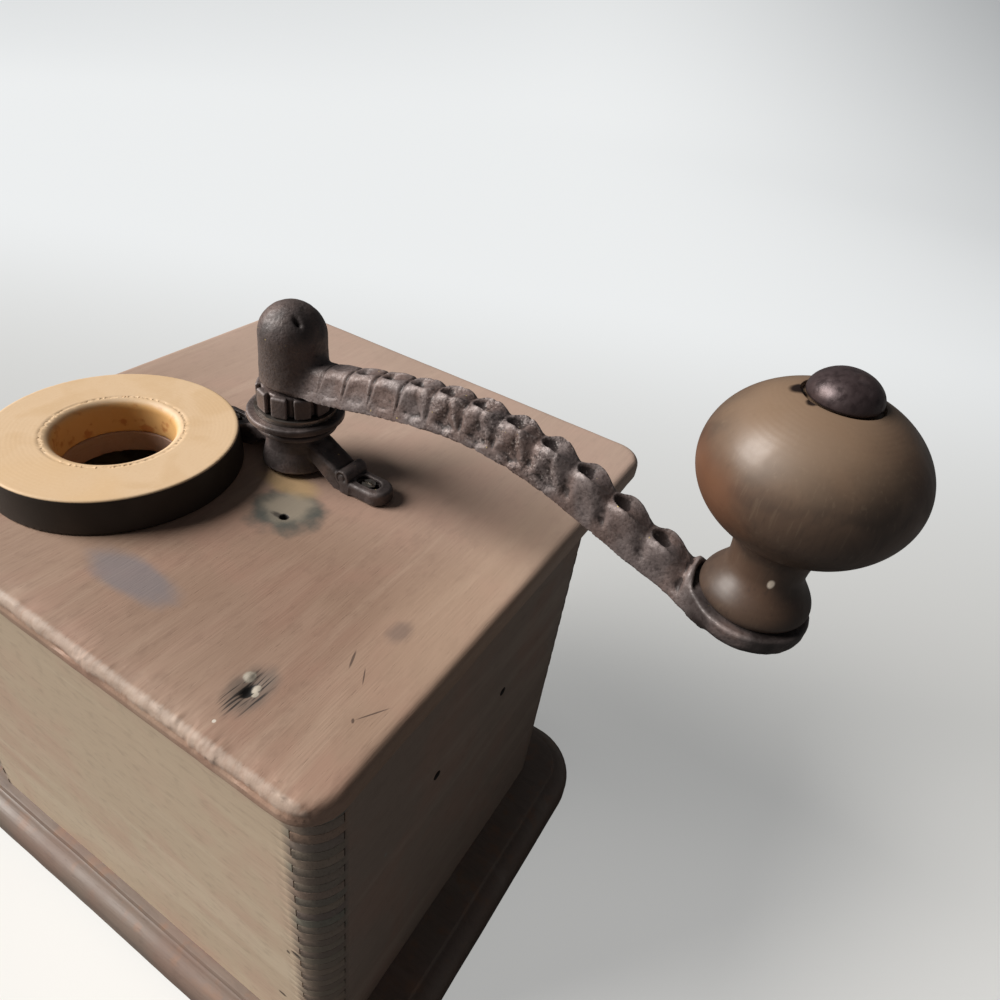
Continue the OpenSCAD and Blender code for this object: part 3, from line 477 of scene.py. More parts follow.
@dataclass(frozen=True)
class BoardWood:
    """Planed hardwood board, stained and darkened by use.

    The fibres show as fine streaks along the grain, the year rings as slow bands, and old stain as blotches.
    Fibres of 0.1 mm would vanish in the render, so they are drawn about 0.5 mm wide.
    """

    name: str
    grain: Axis
    base: str
    dark: str
    pale: str
    warm: str
    fibre: float = 0.55
    fibre_run: float = 22.0
    band: float = 9.0
    blotch: float = 26.0
    streak: float = 0.5
    mottle: float = 0.22
    pores: float = 0.3
    roughness: float = 0.62
    relief: float = 0.05

    def widths(self, across: float, run: float) -> list[float]:
        """Widths of a feature along X, Y and Z when it is run times as long as wide."""
        out = [across] * 3
        out[self.grain.value] = across * run
        return out

    def dress(self, extra: Optional[Callable[[Surface, Socket], Socket]] = None) -> bpy.types.Material:
        """Makes the material.

        Args:
            extra: step that lays marks over the wood's colour.

        Returns:
            The material.
        """
        s = Surface(self.name)
        fibre = s.grain(self.widths(self.fibre, self.fibre_run), 3.0, 0.2)
        pore = s.grain(self.widths(0.6 * self.fibre, 12.0), 1.0)
        band = s.grain(self.widths(self.band, 9.0), 3.0, 0.6)
        blotch = s.grain([self.blotch] * 3, 3.0, 0.4)
        mottle = s.grain(self.widths(2.4, 2.0), 3.0)
        colour = s.tint(self.base, self.warm, s.span(blotch, 0.42, 0.66, 0.8))
        colour = s.tint(colour, self.pale, s.span(band, 0.5, 0.7, 0.5))
        colour = s.tint(colour, self.dark, s.span(fibre, 0.5, 0.76, self.streak))
        colour = s.tint(colour, self.pale, s.span(fibre, 0.48, 0.28, 0.8 * self.streak))
        colour = s.tint(colour, self.dark, s.span(mottle, 0.5, 0.75, self.mottle))
        pores = s.span(pore, 0.66, 0.76, self.pores)
        colour = s.tint(colour, self.dark, pores)
        if extra is not None:
            colour = extra(s, colour)
        height = s.sum(s.sum(fibre, s.sum(mottle, 0.5), "ADD"), s.sum(pores, 1.2), "SUBTRACT")
        rough = s.span(blotch, 0.3, 0.7, 0.16)
        rough = s.sum(rough, self.roughness - 0.08, "ADD")
        return s.finish(colour, rough, height, self.relief)


@dataclass(frozen=True)
class CastIron:
    """Sand-cast iron under old black lacquer that is worn to brown iron.

    Hollows hold dark dirt, high places are rubbed lighter, and the skin is grainy from the sand. The mesh
    says where lacquer is left, how far each place sticks out, and where the skin is rough.
    """

    name: str
    base: str
    dirt: str
    rubbed: str
    rust: str
    glint: str = "#B5ABA6"
    lacquer: str = "#2C2524"
    gloss: float = 0.5
    metal: float = 0.2
    grit: float = 0.7
    relief: float = 0.12
    specks: bool = False

    def dress(self, worn: bool = True) -> bpy.types.Material:
        """Makes the material; worn says that the mesh carries its edge wear and where it is gritty."""
        s = Surface(self.name)
        grit = s.grain([self.grit] * 3, 4.0)
        lump = s.grain([3.2] * 3, 3.0)
        cloud = s.grain([14.0] * 3, 3.0, 0.5)
        colour = s.tint(self.base, self.rust, s.span(cloud, 0.46, 0.64, 0.7))
        colour = s.tint(colour, self.dirt, s.span(grit, 0.5, 0.34, 0.3))
        height = s.sum(grit, s.sum(lump, 0.9), "ADD")
        rough = s.sum(s.span(grit, 0.3, 0.7, 0.22), self.gloss - 0.08, "ADD")
        if worn:
            wear = s.sum(s.attribute("wear"), s.sum(s.sum(lump, 0.5, "SUBTRACT"), 0.3), "ADD")
            colour = s.tint(colour, self.rubbed, s.span(wear, 0.56, 0.9, 0.45))
            colour = s.tint(colour, self.dirt, s.span(wear, 0.46, 0.16, 0.85))
            lacquer = s.sum(s.attribute("lacquer"), s.span(cloud, 0.7, 0.36, 0.95))
            colour = s.tint(colour, self.lacquer, lacquer)
            coarse = s.grain([0.65] * 3, 3.0)
            rough_skin = s.sum(s.attribute("grit"), s.span(s.grain([4.0] * 3, 2.0), 0.3, 0.6))
            colour = s.tint(colour, self.dirt, s.sum(rough_skin, s.span(coarse, 0.5, 0.36, 0.7)))
            colour = s.tint(colour, self.glint, s.sum(rough_skin, s.span(coarse, 0.58, 0.7, 0.6)))
            height = s.sum(height, s.sum(rough_skin, s.sum(coarse, 1.1)), "ADD")
        else:
            colour = s.tint(colour, self.rubbed, s.span(lump, 0.55, 0.75, 0.5))
        if self.specks:
            speck = s.span(s.grain([1.1] * 3, 1.0), 0.765, 0.8)
            colour = s.tint(colour, "#B9A66E", s.sum(speck, s.span(cloud, 0.4, 0.55)))
        return s.finish(colour, rough, height, self.relief, Metallic=self.metal)


@dataclass(frozen=True)
class TurnedWood:
    """Turned hardwood, polished by hands: fine lathe rings, long fibres and clouds of old polish."""

    name: str
    base: str
    dark: str
    warm: str
    sheen: str
    axis_at: tuple[float, float, float]
    along: Axis = Axis.Z
    ring: float = 0.9
    roughness: float = 0.34
    cloud: float = 11.0
    rings: float = 0.25

    def dress(self, extra: Optional[Callable[[Surface, Socket], Socket]] = None) -> bpy.types.Material:
        """Makes the material; extra lays marks over the wood's colour."""
        s = Surface(self.name)
        fibre = s.grain([0.7, 0.7, 9.0], 3.0, 0.3)
        cloud = s.grain([self.cloud] * 3, 3.0, 0.6)
        spread = s.grain([self.cloud * 2.2] * 3, 2.0, 0.3)
        colour = s.tint(self.base, self.dark, s.span(cloud, 0.45, 0.68, 0.75))
        colour = s.tint(colour, self.warm, s.span(spread, 0.48, 0.66, 0.6))
        colour = s.tint(colour, self.dark, s.span(fibre, 0.54, 0.76, 0.4))
        colour = s.tint(colour, self.sheen, s.span(fibre, 0.44, 0.28, 0.25))
        shift = tuple(-c * MM for c in self.axis_at)
        place = add(s.tree, "ShaderNodeMapping", {"Vector": s.place, "Location": shift}).outputs[0]
        turned = add(s.tree, "ShaderNodeTexWave",
                     {"Vector": place, "Scale": 0.31 / (self.ring * MM), "Distortion": 1.5, "Detail": 2.0,
                      "Detail Scale": 1.0},
                     wave_type="RINGS", rings_direction=self.along.name)
        height = s.sum(s.sum(turned.outputs["Fac"], self.rings), s.sum(cloud, 0.8), "ADD")
        colour = s.tint(colour, self.dark, s.sum(turned.outputs["Fac"], 0.14 * self.rings * 4.0))
        if extra is not None:
            colour = extra(s, colour)
        rough = s.sum(s.span(cloud, 0.3, 0.7, 0.16), self.roughness - 0.05, "ADD")
        return s.finish(colour, rough, height, 0.07)


@dataclass(frozen=True)
class BrightMetal:
    """Drawn or rolled metal with a worn, slightly stained surface."""

    name: str
    base: str
    stain: str
    gloss: float = 0.4
    cell: float = 3.0

    def dress(self) -> bpy.types.Material:
        """Makes the material."""
        s = Surface(self.name)
        cloud = s.grain([self.cell] * 3, 4.0, 0.3)
        fine = s.grain([0.4] * 3, 2.0)
        colour = s.tint(self.base, self.stain, s.span(cloud, 0.45, 0.65, 0.8))
        rough = s.sum(s.span(cloud, 0.3, 0.7, 0.25), self.gloss - 0.1, "ADD")
        return s.finish(colour, rough, fine, 0.03, Metallic=0.85)


def make_piece(name: str, points: Array, faces: Iterable[Sequence[int]], material: bpy.types.Material,
               smooth_below: float = 40.0, **values: Array) -> bpy.types.Object:
    """Makes one mesh object at the origin from points in millimetres.

    Args:
        name: name of the object.
        points: points of the mesh.
        faces: point numbers of each face, which faces outwards.
        material: finish of the whole piece.
        smooth_below: edges that bend more than this many degrees stay sharp.
        values: a number for each point, by the name that the finish reads it by.

    Returns:
        The object.
    """
    mesh = bpy.data.meshes.new(name)
    faces = faces.tolist() if isinstance(faces, np.ndarray) else list(faces)
    mesh.from_pydata((np.asarray(points) * MM).tolist(), [], faces)
    mesh.materials.append(material)
    for key, value in values.items():
        mesh.attributes.new(key, "FLOAT", "POINT").data.foreach_set("value", np.asarray(value, np.float32))
    mesh.validate()
    mesh.polygons.foreach_set("use_smooth", np.ones(len(mesh.polygons), bool))
    mesh.set_sharp_from_angle(angle=np.radians(smooth_below))
    piece = bpy.data.objects.new(name, mesh)
    bpy.context.scene.collection.objects.link(piece)
    return piece


def merge_doubles(piece: bpy.types.Object, gap: float = 0.002) -> None:
    """Joins points that lie within gap millimetres and drops the faces that had no area."""
    work = bmesh.new()
    work.from_mesh(piece.data)
    bmesh.ops.remove_doubles(work, verts=work.verts, dist=gap * MM)
    bmesh.ops.dissolve_degenerate(work, edges=work.edges, dist=gap * MM)
    work.to_mesh(piece.data)
    work.free()


def cut_holes(piece: bpy.types.Object, holes: Iterable[tuple[Array, float, float]]) -> None:
    """Cuts upright round holes into a piece.

    Args:
        piece: object that is cut.
        holes: centre of the lower end, radius and height of each.
    """
    parts, faces, start = [], [], 0
    for centre, radius, height in holes:
        profile = np.array([[0, 0], [radius, 0], [radius, height], [0, height]], float)
        points, skin = lathe(profile, centre, 32)
        parts.append(points)
        faces += [[start + i for i in face] for face in skin]
        start += len(points)
    cutter = make_piece("hole_cutter", np.vstack(parts), faces, piece.data.materials[0])
    cut = piece.modifiers.new("holes", "BOOLEAN")
    cut.operation, cut.object, cut.solver = "DIFFERENCE", cutter, "EXACT"
    graph = bpy.context.evaluated_depsgraph_get()
    done = bpy.data.meshes.new_from_object(piece.evaluated_get(graph))
    piece.modifiers.clear()
    piece.data = done
    bpy.data.objects.remove(cutter)


def seat(piece: bpy.types.Object, node: str) -> None:
    """Puts a finished piece in the place of a construction node, on the node's body."""
    bodies = frame["record"]["behaviour"]["bodies"]
    body = next(name for name, nodes in bodies.items() if node in nodes)
    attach(piece, body)
    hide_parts(node)
    LOG.info("%s: %d faces on %s", piece.name, len(piece.data.polygons), body)


@dataclass
class Studio:
    """Floor, light and camera."""

    lens: float = 26.227
    sensor: float = 36.0
    eye: tuple[float, float, float] = (-133.02, 115.29, 280.21)
    right: tuple[float, float, float] = (-0.84848, -0.51402, 0.12597)
    down: tuple[float, float, float] = (-0.39826, 0.46338, -0.79162)
    forward: tuple[float, float, float] = (0.34854, -0.72184, -0.59788)
    key_from: tuple[float, float, float] = (0.73, 0.39, 0.56)
    key_power: float = 5.2
    key_spread: float = 38.0
    fill_power: float = 0.07
    floor_glow: float = 0.42
    flat_reach: float = 1500.0
    floor_reach: float = 4200.0
    floor_rise: float = 800.0

    def camera(self) -> None:
        """Places the camera at the photograph's view."""
        data = bpy.data.cameras.new("camera")
        data.lens, data.sensor_width, data.sensor_fit = self.lens, self.sensor, "HORIZONTAL"
        data.clip_start, data.clip_end = 0.01, 60.0
        eye = bpy.data.objects.new("camera", data)
        columns = [Vector(self.right), -Vector(self.down), -Vector(self.forward)]
        turn = Matrix(columns).transposed().to_4x4()
        eye.matrix_world = Matrix.Translation(Vector(self.eye) * MM) @ turn
        bpy.context.scene.collection.objects.link(eye)
        bpy.context.scene.camera = eye

    def lamp(self, name: str, origin: Sequence[float], power: float, spread: float, colour: str) -> None:
        """Adds one very distant lamp whose disc is spread degrees wide."""
        data = bpy.data.lights.new(name, "SUN")
        data.energy, data.angle, data.color = power, np.radians(spread), linear(colour)[:3]
        lamp = bpy.data.objects.new(name, data)
        lamp.rotation_euler = Vector(origin).to_track_quat("Z", "Y").to_euler()
        bpy.context.scene.collection.objects.link(lamp)

    def light(self) -> None:
        """A broad key lamp from the left of the back wall, and weak light from all round."""
        self.lamp("key_lamp", self.key_from, self.key_power, self.key_spread, "#FFFBF6")
        world = bpy.data.worlds.new("room")
        world.use_nodes = True
        tree = world.node_tree
        tree.nodes.clear()
        room = add(tree, "ShaderNodeBackground", {"Color": "#F0F3F8", "Strength": self.fill_power})
        backdrop = add(tree, "ShaderNodeBackground", {"Color": "#D9DDE0", "Strength": 1.0})
        path = add(tree, "ShaderNodeLightPath", {})
        both = add(tree, "ShaderNodeMixShader",
                   {0: path.outputs["Is Camera Ray"], 1: room.outputs[0], 2: backdrop.outputs[0]})
        add(tree, "ShaderNodeOutputWorld", {"Surface": both.outputs[0]})
        bpy.context.scene.world = world

    def floor(self) -> None:
        """Pale plain floor that bends up far behind the grinder.

        The camera sees it pale, and its colour carries painted light and shade; to all other rays it is a grey cloth,
        so that it throws little light back on the shaded walls.
        """
        s = Surface("pale_floor")
        way = Vector((self.forward[0], self.forward[1], 0.0)).normalized()
        side = Vector((self.right[0], self.right[1], 0.0)).normalized()
        deep, across = (add(s.tree, "ShaderNodeVectorMath", {0: s.place, 1: tuple(v)},
                            operation="DOT_PRODUCT").outputs["Value"] for v in (way, side))
        # Colour graded by place as painted light and shade: palest just in front of the grinder, to fill in its cast
        # shadow, and darker towards the right as painted shade.
        colour = s.tint("#F4F4F2", "#CBCCCB", s.span(deep, -0.04, 0.1))
        colour = s.tint(colour, "#EDF1F4", s.span(deep, 0.1, 0.6))
        colour = s.tint(colour, "#D6DADD", s.span(deep, 1.6, 3.4, 0.8))
        colour = s.tint(colour, "#6C7074", s.span(across, 0.2, 2.3))
        s.finish(colour, 0.9)
        # Part of the floor's brightness for the camera is a painted glow, which flattens the shadows on it.
        self_lit = add(s.tree, "ShaderNodeEmission", {"Color": colour, "Strength": 1.0})
        seen = add(s.tree, "ShaderNodeMixShader",
                   {0: self.floor_glow, 1: s.shader.outputs[0], 2: self_lit.outputs[0]})
        grey = add(s.tree, "ShaderNodeBsdfDiffuse", {"Color": "#686868"})
        path = add(s.tree, "ShaderNodeLightPath", {})
        both = add(s.tree, "ShaderNodeMixShader",
                   {0: path.outputs["Is Camera Ray"], 1: grey.outputs[0], 2: seen.outputs[0]})
        s.tree.links.new(both.outputs[0], s.output.inputs["Surface"])
        base_z = CAD_BOX[0][2] / MM
        out = np.linspace(0.0, 1.0, 40)
        rise = self.floor_rise * smooth(out * self.floor_reach, self.flat_reach, self.floor_reach)
        angle = np.arange(96) * 2.0 * np.pi / 96
        reach = (out[1:] * self.floor_reach)[:, None]
        rings = np.stack([reach * np.cos(angle), reach * np.sin(angle),
                          np.repeat(base_z + rise[1:, None], 96, axis=1)], axis=-1)
        points = np.vstack([rings.reshape(-1, 3), [[0.0, 0.0, base_z]]])
        faces = grid_quads(39, 96, True)[:, ::-1].tolist()
        turn = np.arange(96)
        faces += [[39 * 96, int(a), int(b)] for a, b in zip(turn, (turn + 1) % 96)]
        make_piece("floor", points, faces, s.material)

    def build(self) -> None:
        """Sets up the whole studio."""
        self.camera()
        self.light()
        self.floor()
        bpy.context.scene.view_settings.view_transform = "Standard"
        LOG.info("studio ready")


@dataclass
class Case:
    """Finger-jointed walls on a moulded base."""

    finger: float = 3.5
    first: float = 2.05
    corner: float = 10.0
    wall: float = 7.6
    crack: float = 0.45
    crack_depth: float = 2.2
    arris: float = 0.16
    spacing: float = 3.2
    base_round: float = 5.7
    base_corner: float = 22.0
    quirk: float = 1.6
    body: Extent = field(default_factory=lambda: Extent.of("right_wall"))
    back: Extent = field(default_factory=lambda: Extent.of("back_wall"))
    rail: Extent = field(default_factory=lambda: Extent.of("front_rail"))
    base: Extent = field(default_factory=lambda: Extent.of("base_board"))

    def row_heights(self) -> Array:
        """Heights where one row of fingers ends and the next begins, from the base to the top."""
        z0, z1 = self.body.lo[2], self.body.hi[2]
        inner = np.arange(z0 + self.first, z1 - 0.01, self.finger)
        return np.concatenate([[z0], inner, [z1]])

    def end(self, kind: Corner, steps: int = 9) -> Array:
        """Plan of one end of a board that runs along +u to its end, with v outwards.

        The board's outer face is v = 0, its inner face is v = -wall, and u = 0 is the outer face of the
        other wall. A finger is worn to a flat arc that runs from the joint line of one wall to that of the
        other. A socket stops a wall's thickness before u = 0, and its outermost part a crack's width earlier.

        Returns:
            Points from the outer face to the inner face.
        """
        r, w = self.corner, self.wall
        if kind is Corner.FINGER:
            # The arc's centre lies on the corner's diagonal, so that the arc passes (-w, 0) and (0, -w).
            middle = -0.5 * w - np.sqrt(0.5 * (r * r - 0.5 * w * w))
            swing = np.arcsin(-middle / r)
            a = np.linspace(swing, 0.5 * np.pi - swing, steps + 2)
            return np.stack([middle + r * np.cos(a), middle + r * np.sin(a)], 1)
        deep = np.linspace(0, -self.crack_depth, steps - 1)
        face = np.stack([np.full(steps - 1, -w - self.crack), deep], 1)
        return np.vstack([face, [[-w, -self.crack_depth], [-w, -0.9 * w], [-w, -w]]])

    def board(self, length: float, left: Sequence[Corner], right: Sequence[Corner], heights: Array,
              seed: int) -> tuple[Array, list[list[int]], dict[str, Array]]:
        """Upright board whose two ends carry fingers and sockets.

        Each row of fingers is a stretch of rings with the same plan. Its first and last ring are drawn in
        by a small arris where they cross the joint, so that a fine line shows between the fingers. The faces
        bow by a tenth of a millimetre.

        Args:
            length: from the outer face of one neighbour to the other's, along u.
            left: what the end at u = 0 is, row by row.
            right: what the other end is.
            heights: where the rows begin and end.
            seed: number that the unevenness is drawn from.

        Returns:
            Points as (u, v, z), faces, and each point's share of joint and tone of its row.
        """
        face_u = np.arange(self.wall + 2.0, length - self.wall - 1.0, self.spacing)
        rings, joint, tone = [], [], []
        shades = np.random.default_rng(seed).random(len(heights))
        for row, (z0, z1) in enumerate(zip(heights[:-1], heights[1:])):
            a, b = self.end(left[row]), self.end(right[row])
            outer = np.stack([face_u, np.zeros(len(face_u))], 1)
            inner = np.stack([face_u[::-1], np.full(len(face_u), -self.wall)], 1)
            start = np.stack([-a[:, 0], a[:, 1]], 1)[::-1]
            finish = np.stack([length + b[:, 0], b[:, 1]], 1)
            plan = np.vstack([start, outer, finish, inner])
            flag = np.concatenate([np.ones(len(start)), np.zeros(len(outer)), np.ones(len(finish)),
                                   np.zeros(len(inner))])
            middle = np.array([length / 2.0, -self.wall / 2.0])
            pull = np.clip(middle - plan, -self.arris, self.arris) * flag[:, None]
            pull[:, 0] *= (np.abs(plan[:, 1]) > 0.01) | (flag < 0.5)
            for z, share in ((z0, 1.0), (z0 + self.arris, 0.0), (z1 - self.arris, 0.0), (z1, 1.0)):
                ring = plan + pull * share
                rings.append(np.column_stack([ring, np.full(len(plan), z)]))
                joint.append(flag)
                tone.append(np.full(len(plan), shades[row]))
        rings = np.array(rings)
        u, v, z = rings[..., 0], rings[..., 1], rings[..., 2]
        bow = 0.09 * (lumps(u, v * 0, z, 34.0, seed) - 1.0) + 0.03 * (lumps(u, v * 0, z, 7.0, seed + 1) - 1.0)
        rings[..., 1] += np.where(v > -0.5, bow, 0.0)
        points, faces = stack_rings(rings)
        faces = [face[::-1] for face in faces]
        return points, faces, {"joint": np.array(joint).reshape(-1), "tone": np.array(tone).reshape(-1)}

    def kinds(self, heights: Array, finger_when: int, above: float = -1e9,
              below: Corner = Corner.FINGER) -> list[Corner]:
        """Finger or socket for each row: a finger in every second row above a height, and below that one kind."""
        out = []
        for row, z in enumerate(heights[:-1]):
            # The short first row belongs to the side walls, so it counts as row -1.
            is_finger = (row - 1) % 2 == finger_when
            out.append(below if z < above - 0.1 else Corner.FINGER if is_finger else Corner.SOCKET)
        return out

    def build(self, woods: dict[str, bpy.types.Material]) -> None:
        """Makes the four walls and the base."""
        heights = self.row_heights()
        x1, y1 = self.body.hi, self.back.hi[1]
        half_x, half_y = self.back.hi[0], self.body.hi[1]
        rail_z = self.rail.lo[2]
        side_back = self.kinds(heights, 1)
        side_front = self.kinds(heights, 1, rail_z)
        back = self.kinds(heights, 0)
        rail_heights = heights[heights > rail_z - 0.1]
        rail = self.kinds(heights, 0)[-(len(rail_heights) - 1):]
        plan = {
            "back_wall": (2 * half_x, back, back, heights, lambda u, v: (half_x - u, half_y + v)),
            "front_rail": (2 * half_x, rail, rail, rail_heights, lambda u, v: (u - half_x, -half_y - v)),
            "right_wall": (2 * half_y, side_back, side_front, heights, lambda u, v: (-half_x - v, half_y - u)),
            "left_wall": (2 * half_y, side_front, side_back, heights, lambda u, v: (half_x + v, u - half_y)),
        }
        for seed, (name, (length, left, right, rows, place)) in enumerate(plan.items()):
            points, faces, values = self.board(length, left, right, rows, 11 + 3 * seed)
            x, y = place(points[:, 0], points[:, 1])
            wall = make_piece("dressed_" + name, np.stack([x, y, points[:, 2]], 1), faces, woods[name],
                              30.0, **values)
            merge_doubles(wall)
            seat(wall, name)
        self.build_base(woods["base_board"])

    def build_base(self, wood: bpy.types.Material) -> None:
        """Makes the base: a board whose upper edge is a quarter round above a quirk, with screw holes below."""
        low, high = self.base.lo[2], self.base.hi[2]
        half = self.base.size[:2] / 2
        edge_z = high - self.quirk
        r = self.base_round
        a = np.radians(np.linspace(0, 90, 9))
        profile = [(1.6, low), (0.5, low + 0.4), (0.0, low + 1.5), (0.0, low + 4.0)]
        profile += [(r - r * np.cos(t), edge_z - r + r * np.sin(t)) for t in a]
        profile += [(r + 0.6, edge_z - 0.05), (r + 1.0, edge_z + 0.1), (r + 1.3, high - 0.5),
                    (r + 1.6, high - 0.1), (r + 2.2, high), (r + 5.0, high), (r + 8.0, high), (r + 11.0, high)]
        rings = []
        for inset, z in profile:
            ring = rounded_ring(half[0] - inset, half[1] - inset, self.base_corner - inset, 46, 12)
            rings.append(np.column_stack([ring + self.base.mid[:2], np.full(len(ring), z)]))
        rings = np.array(rings)
        dent = lumps(rings[..., 0], rings[..., 1], rings[..., 2], 16.0, 5) - 1.0
        dent = dent + 0.5 * (lumps(rings[..., 0], rings[..., 1], rings[..., 2], 4.0, 6) - 1.0)
        out = rings[..., :2] - self.base.mid[:2]
        out = out / np.linalg.norm(out, axis=-1, keepdims=True)
        edge = smooth(rings[..., 2], low + 0.3, low + 2.0)
        rings[..., :2] += out * (0.13 * dent * edge)[..., None]
        wear = np.repeat(smooth(np.array([z for _, z in profile]), edge_z - 2.5, edge_z - 0.5)[:, None],
                         rings.shape[1], axis=1)
        points, faces = stack_rings(rings)
        base = make_piece("dressed_base_board", points, faces, wood, 40.0, wear=wear.reshape(-1))
        screws = Extent.of("base_screws")
        inset = 3.85
        y_side = Extent.of("base_screws").hi[1] - 3.8
        places = [(sx * (screws.hi[0] - 3.8), sy * 37.5) for sx in (-1, 1) for sy in (-1, 1)]
        places += [(sx * 40.0, y_side) for sx in (-1, 1)]
        cut_holes(base, [(np.array([x, y, low - 1.0]), inset, 3.4) for x, y in places])
        seat(base, "base_board")


@dataclass
class Top:
    """Thin square top board and the turned collar round its feed hole."""

    corner: float = 10.0
    upper_round: float = 2.6
    lower_round: float = 1.4
    hole: float = 15.5
    lip: float = 2.6
    draw: float = 0.7
    shaft_hole: float = 7.5
    nail: tuple[float, float] = (-15.3, 4.0)
    knot: tuple[float, float] = (-50.3, 49.1)
    step: float = 1.15
    fine: float = 0.42
    board: Extent = field(default_factory=lambda: Extent.of("top_board"))
    collar: Extent = field(default_factory=lambda: Extent.of("feed_collar"))
    shaft: Extent = field(default_factory=lambda: Extent.of("spindle"))
    foot: Extent = field(default_factory=lambda: Extent.of("bridge"))

    def board_shape(self, x: Array, y: Array, z: Array) -> Array:
        """Distance to the board: a rounded slab with holes, a sunk knot, dents and a worn back edge."""
        mid, half = self.board.mid, self.board.size / 2
        px, py = np.abs(x - mid[0]) - half[0] + self.corner, np.abs(y - mid[1]) - half[1] + self.corner
        plan = np.minimum(np.maximum(px, py), 0) + np.hypot(np.maximum(px, 0), np.maximum(py, 0)) - self.corner
        plan = plan + 0.12 * (1.0 + lumps(x, y, z * 0, 22.0, 31)) + 0.05 * (1.0 + lumps(x, y, z, 3.0, 32))
        edge = np.where(z > mid[2], self.upper_round, self.lower_round)
        tall = np.abs(z - mid[2]) - half[2]
        back = smooth(y, self.board.hi[1] - 7.0, self.board.hi[1] - 0.5) * (z > mid[2])
        fibres = lumps(x, y * 0.25, z, 1.3, 33) + 0.6 * lumps(x, y * 0.2, z, 0.6, 34)
        worn = back * (0.35 + 0.22 * fibres + 0.3 * lumps(x, y * 0, z * 0, 9.0, 35))
        out = prism(plan, tall + 0.05 * (1 + lumps(x, y, z * 0, 30.0, 36)), edge) + worn
        out = np.maximum(out, self.hole - np.hypot(x - self.collar.mid[0], y - self.collar.mid[1]))
        out = np.maximum(out, self.shaft_hole - np.hypot(x - self.shaft.mid[0], y - self.shaft.mid[1]))
        top = self.board.hi[2]
        nail = np.hypot(np.hypot((x - self.nail[0]), (y - self.nail[1])) * 1.6, (z - top) * 0.5) - 1.7
        out = blend_max(out, -nail / 1.6, 0.3)
        kx, ky = x - self.knot[0], y - self.knot[1]
        sink = 0.55 * np.exp(-(kx / 3.0) ** 2 - (ky / 4.4) ** 2)
        hole = 1.4 * np.exp(-((kx + 0.2) / 0.95) ** 2 - ((ky - 1.0) / 1.7) ** 2)
        knob = 0.5 * np.exp(-((kx - 2.3) ** 2 + (ky + 1.6) ** 2) / 0.9)
        knob = knob + 0.45 * np.exp(-((kx + 0.9) ** 2 + (ky + 0.3) ** 2) / 0.6)
        return out + (sink + hole - knob) * smooth(z, mid[2], top)

    def collar_shape(self, x: Array, y: Array, z: Array) -> Array:
        """Distance to the collar: a ring with a round lip, a rounded rim and a pocket for the bridge's foot."""
        low, high = self.collar.lo[2], self.collar.hi[2]
        outer = self.collar.size[0] / 2
        away = np.hypot(x - self.collar.mid[0], y - self.collar.mid[1])
        turn = np.arctan2(y - self.collar.mid[1], x - self.collar.mid[0])
        inward = away < (outer + self.hole) / 2
        lip = np.where(z < (low + high) / 2, 0.5, np.where(inward, self.lip, 0.55))
        slim = self.draw * np.clip((z - low) / (high - low), 0.0, 1.0) * ~inward
        wander = 0.06 * np.sin(2.0 * turn + 1.0) + 0.05 * lumps(np.cos(turn) * 9, np.sin(turn) * 9, z * 0.4, 3.0, 41)
        plan = np.abs(away - (outer + self.hole) / 2) - (outer - self.hole) / 2 + 0.12 + wander + slim
        ring = prism(plan, np.abs(z - (low + high) / 2) - (high - low) / 2, lip)
        line = np.hypot(away - self.hole - self.lip - 0.35, z - high) - 0.28
        ring = np.maximum(ring, -line)
        end = self.foot.hi[0] - 4.6
        start, foot_y = self.shaft.mid[0], self.shaft.mid[1]
        pocket = prism(slot_plan(x - (start + end) / 2, y - foot_y, (end - start) / 2, 5.4), np.abs(z - low) - 8.0,
                       0.3)
        return np.maximum(ring, -pocket)

    def marks(self, s: Surface, colour: Socket) -> Socket:
        """Stains, scratches and bare wood that the board has picked up."""
        top = self.board.hi[2]
        thick = 60.0
        far = add(s.tree, "ShaderNodeSeparateXYZ", {0: s.place}).outputs["Y"]
        colour = s.tint(colour, "#CDB7AA", s.span(far, 30.0 * MM, -80.0 * MM, 0.5))
        cloud = s.near((-38.0, 27.0, top), (34.0, 30.0, thick), 0.8, 0.5)
        colour = s.tint(colour, "#7D6151", s.sum(cloud, 0.4))
        rubbed = s.near((-74.0, 0.0, top), (13.0, 44.0, thick), 0.8, 0.5)
        colour = s.tint(colour, "#BFA48E", s.sum(rubbed, 0.45))
        ring = s.near((-13.5, 1.5, top), (10.0, 9.0, thick), 0.3, 0.5)
        core = s.near((-12.8, -0.5, top), (6.8, 6.4, thick), 0.5, 0.5)
        colour = s.tint(colour, "#444B47", s.sum(ring, 0.92))
        colour = s.tint(colour, "#A19482", s.sum(core, 0.75))
        colour = s.tint(colour, "#B89A66", s.sum(s.near((-5.5, -8.5, top), (9.0, 4.6, thick), 0.45, 0.4), 0.6))
        colour = s.tint(colour, "#1C1614", s.near((*self.nail, top), (1.5, 1.3, thick), 0.15, 0.2))
        nail_smear = s.near((self.nail[0] + 1.6, self.nail[1] + 0.4, top), (2.4, 0.8, thick), 0.4, 0.4)
        colour = s.tint(colour, "#2C2622", s.sum(nail_smear, 0.8))
        kx, ky = self.knot
        halo = s.near((kx - 0.3, ky + 0.6, top), (4.6, 6.4, thick), 0.35, 0.3)
        colour = s.tint(colour, "#5B554F", s.sum(halo, 0.62))
        streaks = s.span(s.grain([0.55, 9.0, 9.0], 1.0), 0.5, 0.62)
        body = s.near((kx - 0.4, ky + 1.5, top), (3.9, 6.8, thick), 0.3, 0.3)
        colour = s.tint(colour, "#1E1917", s.sum(s.sum(streaks, body), 0.9))
        colour = s.tint(colour, "#0E0B0A", s.near((kx - 0.2, ky + 1.0, top), (1.3, 2.2, thick), 0.25, 0.35))
        for dx, dy, r in ((2.4, -1.6, 1.25), (-0.9, -0.3, 0.95), (-1.9, 1.0, 0.7)):
